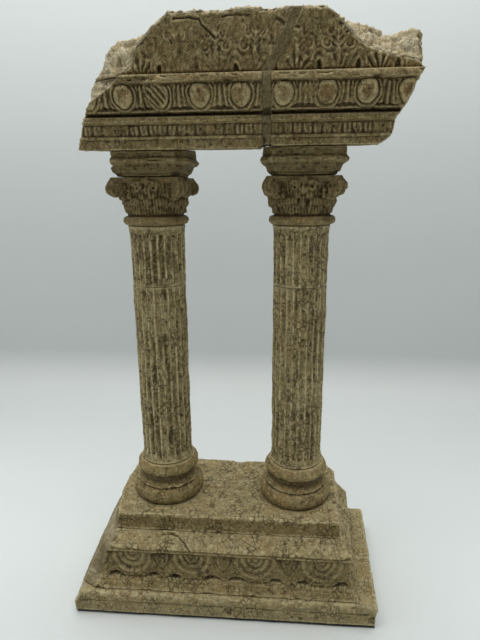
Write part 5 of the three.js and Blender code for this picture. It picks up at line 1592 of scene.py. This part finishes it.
def stone_material(name, base=1.0, crack=0.5, dirt=0.5, streak=0.0, warm=0.0, grain=0.5, tall=1.0, bend=1.0,
                   tint=(1.0, 1.0, 1.0), cell=3.4, recess_shade_and_wash=0.8, edge_highlight_and_wear=0.5, blotch=0.0, upright_shade_and_dust=0.0, fresh=1.0):
    g = Graph(name)
    P0 = g.mm()
    xyz = g.sep(P0)
    # grain and crackle may be drawn out along the height
    P = g.comb(xyz[0], xyz[1], g.math("MULTIPLY", xyz[2], tall)) if tall != 1.0 else P0
    wn = g.noise(P0, 0.16, 2.0, 0.5, colour=True)
    warp = g.vmath("SCALE", g.vmath("SUBTRACT", wn, (0.5, 0.5, 0.5)), scale=3.2 * bend)
    wn2 = g.noise(P0, 0.9, 2.0, 0.6, colour=True)
    warp2 = g.vmath("SCALE", g.vmath("SUBTRACT", wn2, (0.5, 0.5, 0.5)), scale=1.1 * bend)
    Pw = g.vmath("ADD", g.vmath("ADD", P, warp), warp2)

    def col(r, gg, b):
        c = rgb(r, gg, b)
        return (c[0] * base * tint[0], c[1] * base * tint[1], c[2] * base * tint[2], 1.0)
    khaki, cream = col(158, 146, 108), col(206, 194, 152)
    olive, umber = col(138, 128, 84), col(104, 86, 50)
    tan, rust = col(156, 136, 90), col(132, 92, 42)
    dark = col(58, 46, 26)
    n_big = g.noise(P0, 0.045, 3.0, 0.55)
    n_mid = g.noise(P0, 0.17, 4.0, 0.6)
    n_fin = g.noise(P, 0.75, 4.0, 0.65)
    n_gr1 = g.noise(P, 1.7, 3.0, 0.6)
    n_grit = g.noise(P, 3.4, 3.0, 0.6)
    c = g.mix(g.remap(n_mid, 0.38, 0.66), khaki, tan)
    c = g.mix(g.math("MULTIPLY", g.remap(n_big, 0.42, 0.62), 0.5), c, olive)
    c = g.mix(g.math("MULTIPLY", g.remap(n_fin, 0.52, 0.72), 0.35), c, cream)
    c = g.mix(g.math("MULTIPLY", g.remap(n_fin, 0.48, 0.30), 0.35), c, umber)
    n_b = g.noise(g.vmath("ADD", P, (7.0, 3.0, 11.0)), 0.38, 3.0, 0.62)
    c = g.mix(g.math("MULTIPLY", g.remap(n_b, 0.51, 0.66), blotch), c, umber)
    c = g.mix(g.math("MULTIPLY", g.remap(n_b, 0.48, 0.35), blotch * 0.8), c, cream)
    n_r = g.noise(g.vmath("ADD", P0, (31.0, 17.0, 5.0)), 0.11, 4.0, 0.6)
    c = g.mix(g.math("MULTIPLY", g.remap(n_r, 0.56, 0.72), 0.22 + warm), c, rust)
    # flakes of glaze between the crackle, each a little different
    flake = g.voronoi_cell(Pw, 1 / cell)
    cs = g.sep(flake)
    c = g.mix(g.math("MULTIPLY", cs[0], 0.16), c, g.mix(g.remap(cs[1], 0.4, 0.6), cream, umber))
    # each flake a touch paler inside its rim
    core = g.math("MULTIPLY", g.voronoi_edge(Pw, 1 / cell), cell)
    c = g.mix(g.math("MULTIPLY", g.remap(core, 0.35, 1.0), 0.22 * crack / 0.6), c, cream)
    if streak > 0:
        stretched = g.comb(xyz[0], xyz[1], g.math("MULTIPLY", xyz[2], 0.10))
        n_s = g.noise(stretched, 0.42, 3.0, 0.6)
        n_s2 = g.noise(g.comb(xyz[0], xyz[1], g.math("MULTIPLY", xyz[2], 0.16)), 1.25, 2.0, 0.6)
        c = g.mix(g.math("MULTIPLY", g.remap(n_s, 0.48, 0.66), streak), c, umber)
        c = g.mix(g.math("MULTIPLY", g.remap(n_s, 0.47, 0.34), streak * 0.9), c, cream)
        c = g.mix(g.math("MULTIPLY", g.remap(n_s2, 0.52, 0.68), streak * 0.8), c, umber)
        c = g.mix(g.math("MULTIPLY", g.remap(n_s2, 0.47, 0.34), streak * 0.7), c, cream)
    # crackle lines, coarse net plus patches of a finer one
    e1 = g.math("MULTIPLY", g.voronoi_edge(Pw, 1 / cell), cell)
    e2 = g.math("MULTIPLY", g.voronoi_edge(Pw, 1 / 1.6), 1.6)
    patch = g.remap(g.noise(P0, 0.12, 2.0, 0.5), 0.42, 0.60)
    wvar = g.remap(g.noise(P0, 0.35, 2.0, 0.5), 0.36, 0.62, 0.10, 0.46)
    l1 = g.math("MULTIPLY", g.remap(e1, g.math("MULTIPLY", wvar, 0.30), wvar, 1.0, 0.0), g.remap(patch, 0.0, 1.0, 0.22, 1.0))
    l2 = g.math("MULTIPLY", g.remap(e2, 0.03, 0.20, 1.0, 0.0), g.remap(g.noise(P0, 0.14, 2.0, 0.5), 0.46, 0.60))
    lines = g.math("MAXIMUM", l1, g.math("MULTIPLY", l2, 0.7))
    a_cav, a_edge, a_frac = g.attr("cav"), g.attr("edge"), g.attr("frac")
    a_rust, a_mort, a_shade_and_grime = g.attr("rust"), g.attr("mort"), g.attr("dirt")
    fr = g.remap(g.math("ADD", a_frac, g.math("MULTIPLY", g.math("SUBTRACT", n_fin, 0.5), 0.7)), 0.35, 0.65)
    lines = g.math("MULTIPLY", lines, g.math("SUBTRACT", 1.0, g.math("MULTIPLY", fr, 0.85)))
    # painted shade and dark wash settle in the recesses; painted highlight and paint rubbed thin on the arrises
    ragged = g.math("MULTIPLY", g.math("SUBTRACT", n_fin, 0.5), 0.9)
    ragged2 = g.math("MULTIPLY", g.math("SUBTRACT", n_gr1, 0.5), 0.5)
    edge = g.remap(g.math("ADD", g.math("ADD", a_edge, ragged), ragged2), 0.18, 0.95)
    cav = g.remap(g.math("ADD", g.math("ADD", a_cav, g.math("MULTIPLY", ragged, 0.5)), ragged2), 0.08, 0.85)
    cav = g.math("MULTIPLY", cav, g.math("SUBTRACT", 1.0, g.math("MULTIPLY", fr, 0.6)))
    c = g.mix(g.math("MULTIPLY", a_rust, g.remap(n_fin, 0.35, 0.6, 0.25, 0.80)), c, rust)
    # painted highlight: ridges and raised carving lightened towards cream, together with worn paint
    c = g.mix(g.math("MULTIPLY", edge, edge_highlight_and_wear), c, cream)
    pale = g.mix(g.remap(n_mid, 0.35, 0.65), rgb(216 * fresh, 206 * fresh, 177 * fresh), rgb(180 * fresh, 166 * fresh, 130 * fresh))
    pale = g.mix(g.math("MULTIPLY", g.remap(n_fin, 0.5, 0.34), 0.45), pale, umber)
    c = g.mix(g.math("MULTIPLY", fr, 0.82), c, pale)
    # painted shade: recesses darkened towards dark umber, together with wash
    c = g.mix(g.math("MULTIPLY", cav, recess_shade_and_wash), c, g.mix(g.remap(n_mid, 0.4, 0.6), dark, col(78, 62, 34)))
    c = g.mix(g.math("MULTIPLY", lines, crack), c, col(62, 47, 24))
    # darkened where the mask is set: painted shade at the column feet, in the scotia and over the sheltered capitals,
    # and darker bands on other faces
    if dirt > 0:
        c = g.mix(g.math("MULTIPLY", a_shade_and_grime, dirt), c, g.mix(n_fin, dark, col(92, 76, 44)))
    grey = g.mix(g.remap(n_fin, 0.35, 0.65), rgb(118, 106, 74), rgb(78, 67, 42))
    # painted shade in the recesses of the mortar
    grey = g.mix(g.math("MULTIPLY", cav, 0.6), grey, rgb(34, 30, 18))
    c = g.mix(g.math("MULTIPLY", a_mort, 0.70), c, grey)
    # upright faces darkened and warmed as painted shade from the overhead light, with some brown wash; flat tops stay
    # paler and dusty
    stand = g.math("SUBTRACT", 1.0, g.attr("lying"))
    c = g.mix(g.math("MULTIPLY", stand, upright_shade_and_dust), c, g.mix(1.0, c, (0.80, 0.74, 0.62, 1.0), "MULTIPLY"))
    # fine grain: dark and pale specks
    c = g.mix(g.math("MULTIPLY", g.remap(n_gr1, 0.50, 0.72), grain), c, col(70, 56, 31))
    c = g.mix(g.math("MULTIPLY", g.remap(n_gr1, 0.46, 0.28), grain * 0.6), c, cream)
    c = g.mix(g.math("MULTIPLY", g.remap(n_grit, 0.54, 0.74), grain * 0.8), c, dark)
    c = g.mix(g.math("MULTIPLY", g.remap(n_grit, 0.44, 0.26), grain * 0.6), c, cream)
    g.put(g.bsdf.inputs["Base Color"], c)
    rough = g.math("ADD", g.remap(n_fin, 0.3, 0.7, 0.66, 0.84), g.math("MULTIPLY", fr, 0.12), clamp=True)
    g.put(g.bsdf.inputs["Roughness"], rough)
    g.bsdf.inputs["Specular IOR Level"].default_value = 0.28
    hgt = g.math("ADD", g.math("MULTIPLY", lines, -0.35), g.math("MULTIPLY", n_fin, 0.55))
    hgt = g.math("ADD", hgt, g.math("MULTIPLY", n_gr1, 0.35))
    hgt = g.math("ADD", hgt, g.math("MULTIPLY", n_grit, 0.22))
    bump = g.nt.nodes.new("ShaderNodeBump")
    bump.inputs["Strength"].default_value = 0.8
    bump.inputs["Distance"].default_value = 0.00048
    g.put(bump.inputs["Height"], hgt)
    g.nt.links.new(bump.outputs[0], g.bsdf.inputs["Normal"])
    return g.mat


def felt_material():
    g = Graph("felt_dark")
    P = g.mm()
    n1 = g.noise(P, 1.4, 4.0, 0.7)
    n2 = g.noise(P, 0.15, 3.0, 0.6)
    c = g.mix(n1, rgb(26, 28, 26), rgb(58, 58, 54))
    c = g.mix(g.math("MULTIPLY", g.remap(n2, 0.5, 0.7), 0.4), c, rgb(96, 88, 70))
    g.put(g.bsdf.inputs["Base Color"], c)
    g.bsdf.inputs["Roughness"].default_value = 0.95
    g.bsdf.inputs["Sheen Weight"].default_value = 0.35
    g.bsdf.inputs["Sheen Roughness"].default_value = 0.5
    bump = g.nt.nodes.new("ShaderNodeBump")
    bump.inputs["Strength"].default_value = 0.8
    bump.inputs["Distance"].default_value = 0.00025
    g.put(bump.inputs["Height"], n1)
    g.nt.links.new(bump.outputs[0], g.bsdf.inputs["Normal"])
    return g.mat


def steel_material():
    g = Graph("drawn_steel")
    P = g.mm()
    xyz = g.sep(P)
    s = g.comb(g.math("MULTIPLY", xyz[0], 4.0), g.math("MULTIPLY", xyz[1], 4.0), g.math("MULTIPLY", xyz[2], 0.2))
    n = g.noise(s, 1.2, 4.0, 0.6)
    b = g.noise(P, 0.25, 3.0, 0.6)
    c = g.mix(n, (0.42, 0.42, 0.43, 1), (0.62, 0.62, 0.63, 1))
    c = g.mix(g.math("MULTIPLY", g.remap(b, 0.58, 0.74), 0.5), c, (0.20, 0.11, 0.05, 1))
    g.put(g.bsdf.inputs["Base Color"], c)
    g.bsdf.inputs["Metallic"].default_value = 1.0
    g.put(g.bsdf.inputs["Roughness"], g.remap(n, 0.3, 0.7, 0.28, 0.44))
    bump = g.nt.nodes.new("ShaderNodeBump")
    bump.inputs["Strength"].default_value = 0.3
    bump.inputs["Distance"].default_value = 0.0001
    g.put(bump.inputs["Height"], n)
    g.nt.links.new(bump.outputs[0], g.bsdf.inputs["Normal"])
    return g.mat


def dress(ob, mat):
    ob.data.materials.clear()
    ob.data.materials.append(mat)


# ------------------------------------------------------------------- assembly
MAT_BASE = stone_material("cast_stone_base", base=1.07, crack=0.78, dirt=0.6, grain=0.50, cell=2.7, recess_shade_and_wash=0.72, edge_highlight_and_wear=0.65, blotch=0.30,
                          upright_shade_and_dust=0.95, fresh=0.80)
MAT_SLAB = stone_material("cast_stone_slab", base=1.10, crack=0.60, dirt=0.5, grain=0.46, cell=2.7, recess_shade_and_wash=0.62, edge_highlight_and_wear=0.6, blotch=0.26,
                          upright_shade_and_dust=0.15, fresh=0.85)
MAT_FOOT = stone_material("cast_stone_column_base", base=0.94, crack=0.55, dirt=0.75, grain=0.75, cell=2.6, tint=(1.0, 0.94, 0.83), blotch=0.4,
                          edge_highlight_and_wear=0.65)
MAT_SHAFT = stone_material("cast_stone_shaft", base=1.03, crack=0.74, streak=0.48, grain=0.66, tall=0.8, cell=2.9, recess_shade_and_wash=0.88, edge_highlight_and_wear=0.90,
                           blotch=0.20, tint=(1.0, 0.98, 0.93), bend=0.30)
# capital and impost copies are set darker partly as painted shade, sheltered under the beam; the warmer tint is their
# own tone
MAT_CAP = stone_material("cast_stone_capital", base=0.73, crack=0.25, dirt=0.6, warm=0.12, grain=0.70, tint=(1.0, 0.91, 0.76), blotch=0.35,
                         recess_shade_and_wash=0.75, edge_highlight_and_wear=0.7)
MAT_IMP = stone_material("cast_stone_impost", base=0.66, crack=0.25, dirt=0.7, warm=0.08, grain=0.75, tint=(1.0, 0.92, 0.78), blotch=0.4,
                         edge_highlight_and_wear=0.6)
MAT_ENT = stone_material("cast_stone_entablature", base=0.865, crack=0.45, dirt=0.6, warm=0.12, grain=0.90, tall=0.7, cell=2.4,
                         tint=(1.0, 0.925, 0.82), recess_shade_and_wash=0.84, edge_highlight_and_wear=0.95, blotch=0.50)
MAT_MORTAR = stone_material("mortar_grey", base=0.84, crack=0.25, grain=0.7, blotch=0.4, cell=2.4, tint=(1.0, 0.96, 0.88))

dress(make_slab(), MAT_SLAB)
dress(make_course(), MAT_BASE)
dress(make_plinth(), MAT_BASE)
dress(make_felt(), felt_material())
for cx, side, seed in ((-40.0, "left", 101), (40.0, "right", 131)):
    dress(make_column_base(cx, side, seed), MAT_FOOT)
    make_shaft(cx, side, seed + 3)
    for part in ("lower", "upper"):
        dress(bpy.data.objects[f"shaft_{part}_{side}_stone"], MAT_SHAFT)
cap_left = voxel_join(capital_parts(5), 0.42)
dress(make_capital(-40.0, "left", 211, cap_left), MAT_CAP)
dress(make_capital(40.0, "right", 223, cap_left), MAT_CAP)
dress(make_impost(-40.0, "left", 258.7, 231), MAT_IMP)
dress(make_impost(40.0, "right", 259.8, 237), MAT_IMP)
for side, seed in (("left", 301), ("right", 331)):
    dress(make_architrave(side, seed), MAT_ENT)
    dress(make_eggs(side, seed + 5), MAT_ENT)
    dress(make_acanthus(side, seed + 9), MAT_ENT)
dress(make_mortar(), MAT_MORTAR)

STEEL = steel_material()
for n in ("tie_rod_left", "tie_rod_right", "seam_pin_front", "seam_pin_rear", "seam_pin_top"):
    o = frame["nodes"][n]
    if not o.material_slots:
        o.data.materials.append(STEEL)
    for s in o.material_slots:
        s.material = STEEL


# ---------------------------------------------------------------------- stage
def make_stage():
    """Pale table that sweeps up into a pale wall."""
    wall_y, r = 0.302, 0.045
    prof = [(-1.6, 0.0), (-0.8, 0.0), (-0.3, 0.0), (0.0, 0.0), (0.15, 0.0), (wall_y - r, 0.0)]
    prof += [(wall_y - r + r * math.sin(t), r - r * math.cos(t)) for t in np.linspace(0, math.pi / 2, 12)[1:]]
    prof += [(wall_y, 0.3), (wall_y, 0.7), (wall_y, 1.6)]
    xs = np.linspace(-2.2, 2.2, 23)
    V, Q = [], []
    for y, z in prof:
        for x in xs:
            V.append((x, y, z - 0.00002))
    n = len(xs)
    for i in range(len(prof) - 1):
        for j in range(n - 1):
            Q.append((i * n + j, i * n + j + 1, (i + 1) * n + j + 1, (i + 1) * n + j))
    me = bpy.data.meshes.new("studio_sweep")
    me.from_pydata(V, [], Q)
    me.polygons.foreach_set("use_smooth", [True] * len(Q))
    ob = bpy.data.objects.new("studio_sweep", me)
    bpy.context.scene.collection.objects.link(ob)
    g = Graph("studio_paint_with_painted_shade")
    P = g.mm()
    n1 = g.noise(P, 0.02, 2.0, 0.5)
    xyz = g.sep(P)
    ramp = g.nt.nodes.new("ShaderNodeValToRGB")
    # painted shade on the sweep, standing in for the fall of the overhead light: from the table (0) round the bend
    # (0.4) and up the wall (1)
    along = g.math("ADD", g.remap(xyz[1], 20.0, 302.0, 0.0, 0.4, smooth=False), g.remap(xyz[2], 0.0, 440.0, 0.0, 0.6, smooth=False))
    g.put(ramp.inputs[0], along)
    stops = ((0.0, 1.0), (0.10, 0.955), (0.16, 0.90), (0.25, 0.84), (0.37, 0.82), (0.44, 0.81), (0.54, 0.83), (0.64, 0.85), (0.73, 0.90),
             (0.80, 0.96), (0.86, 1.03), (0.98, 1.12))
    cr = ramp.color_ramp
    while len(cr.elements) < len(stops):
        cr.elements.new(0.5)
    for el, (pos, k) in zip(cr.elements, stops):
        el.position = pos
        el.color = (0.738 * k, 0.778 * k, 0.770 * k, 1.0)
    g.put(g.bsdf.inputs["Base Color"], g.mix(n1, ramp.outputs[0], g.mix(0.03, ramp.outputs[0], (1.0, 1.0, 1.0, 1.0))))
    g.bsdf.inputs["Roughness"].default_value = 0.7
    me.materials.append(g.mat)


make_stage()


# ------------------------------------------------------------- camera, lights
def make_camera():
    yaw, pitch, roll = math.radians(-4.834), math.radians(-15.056), math.radians(-0.461)
    fwd = Vector((math.sin(yaw) * math.cos(pitch), math.cos(yaw) * math.cos(pitch), math.sin(pitch)))
    right = Vector((math.cos(yaw), -math.sin(yaw), 0))
    up = right.cross(fwd)
    r = math.cos(roll) * right + math.sin(roll) * up
    u = -math.sin(roll) * right + math.cos(roll) * up
    cam = bpy.data.cameras.new("camera")
    cam.sensor_width = 36.0
    cam.sensor_fit = "AUTO"
    cam.lens = 27.035
    cam.clip_start, cam.clip_end = 0.01, 20
    ob = bpy.data.objects.new("camera", cam)
    m = Matrix((r, u, -fwd)).transposed().to_4x4()
    m.translation = Vector((0.028686, -0.267065, 0.239422))
    ob.matrix_world = m
    bpy.context.scene.collection.objects.link(ob)
    bpy.context.scene.camera = ob


def area_light(name, loc, target, size, power, colour=(1, 1, 1)):
    l = bpy.data.lights.new(name, "AREA")
    l.shape = "RECTANGLE"
    l.size, l.size_y = size
    l.energy = power
    l.color = colour
    ob = bpy.data.objects.new(name, l)
    ob.location = loc
    d = Vector(target) - Vector(loc)
    ob.rotation_euler = d.to_track_quat("-Z", "Y").to_euler()
    bpy.context.scene.collection.objects.link(ob)


make_camera()
area_light("overhead_soft", (0.0, -0.02, 0.98), (0.0, 0.0, 0.0), (1.1, 0.7), 8.5, (1.0, 0.99, 0.97))
area_light("left_soft", (-0.95, -0.35, 0.65), (0.0, 0.0, 0.18), (0.6, 0.7), 1.3, (0.97, 0.99, 1.0))
area_light("front_fill", (0.35, -1.2, 0.55), (0.0, 0.0, 0.2), (1.0, 0.8), 1.0, (1.0, 0.99, 0.97))

world = bpy.data.worlds.new("soft_world")
world.use_nodes = True
world.node_tree.nodes["Background"].inputs[0].default_value = (0.93, 0.97, 1.0, 1)
world.node_tree.nodes["Background"].inputs[1].default_value = 0.17
bpy.context.scene.world = world
bpy.context.scene.view_settings.view_transform = "Standard"
bpy.context.scene.view_settings.look = "None"
bpy.context.scene.view_settings.exposure = 0.0
bpy.context.scene.view_settings.gamma = 1.0

import json
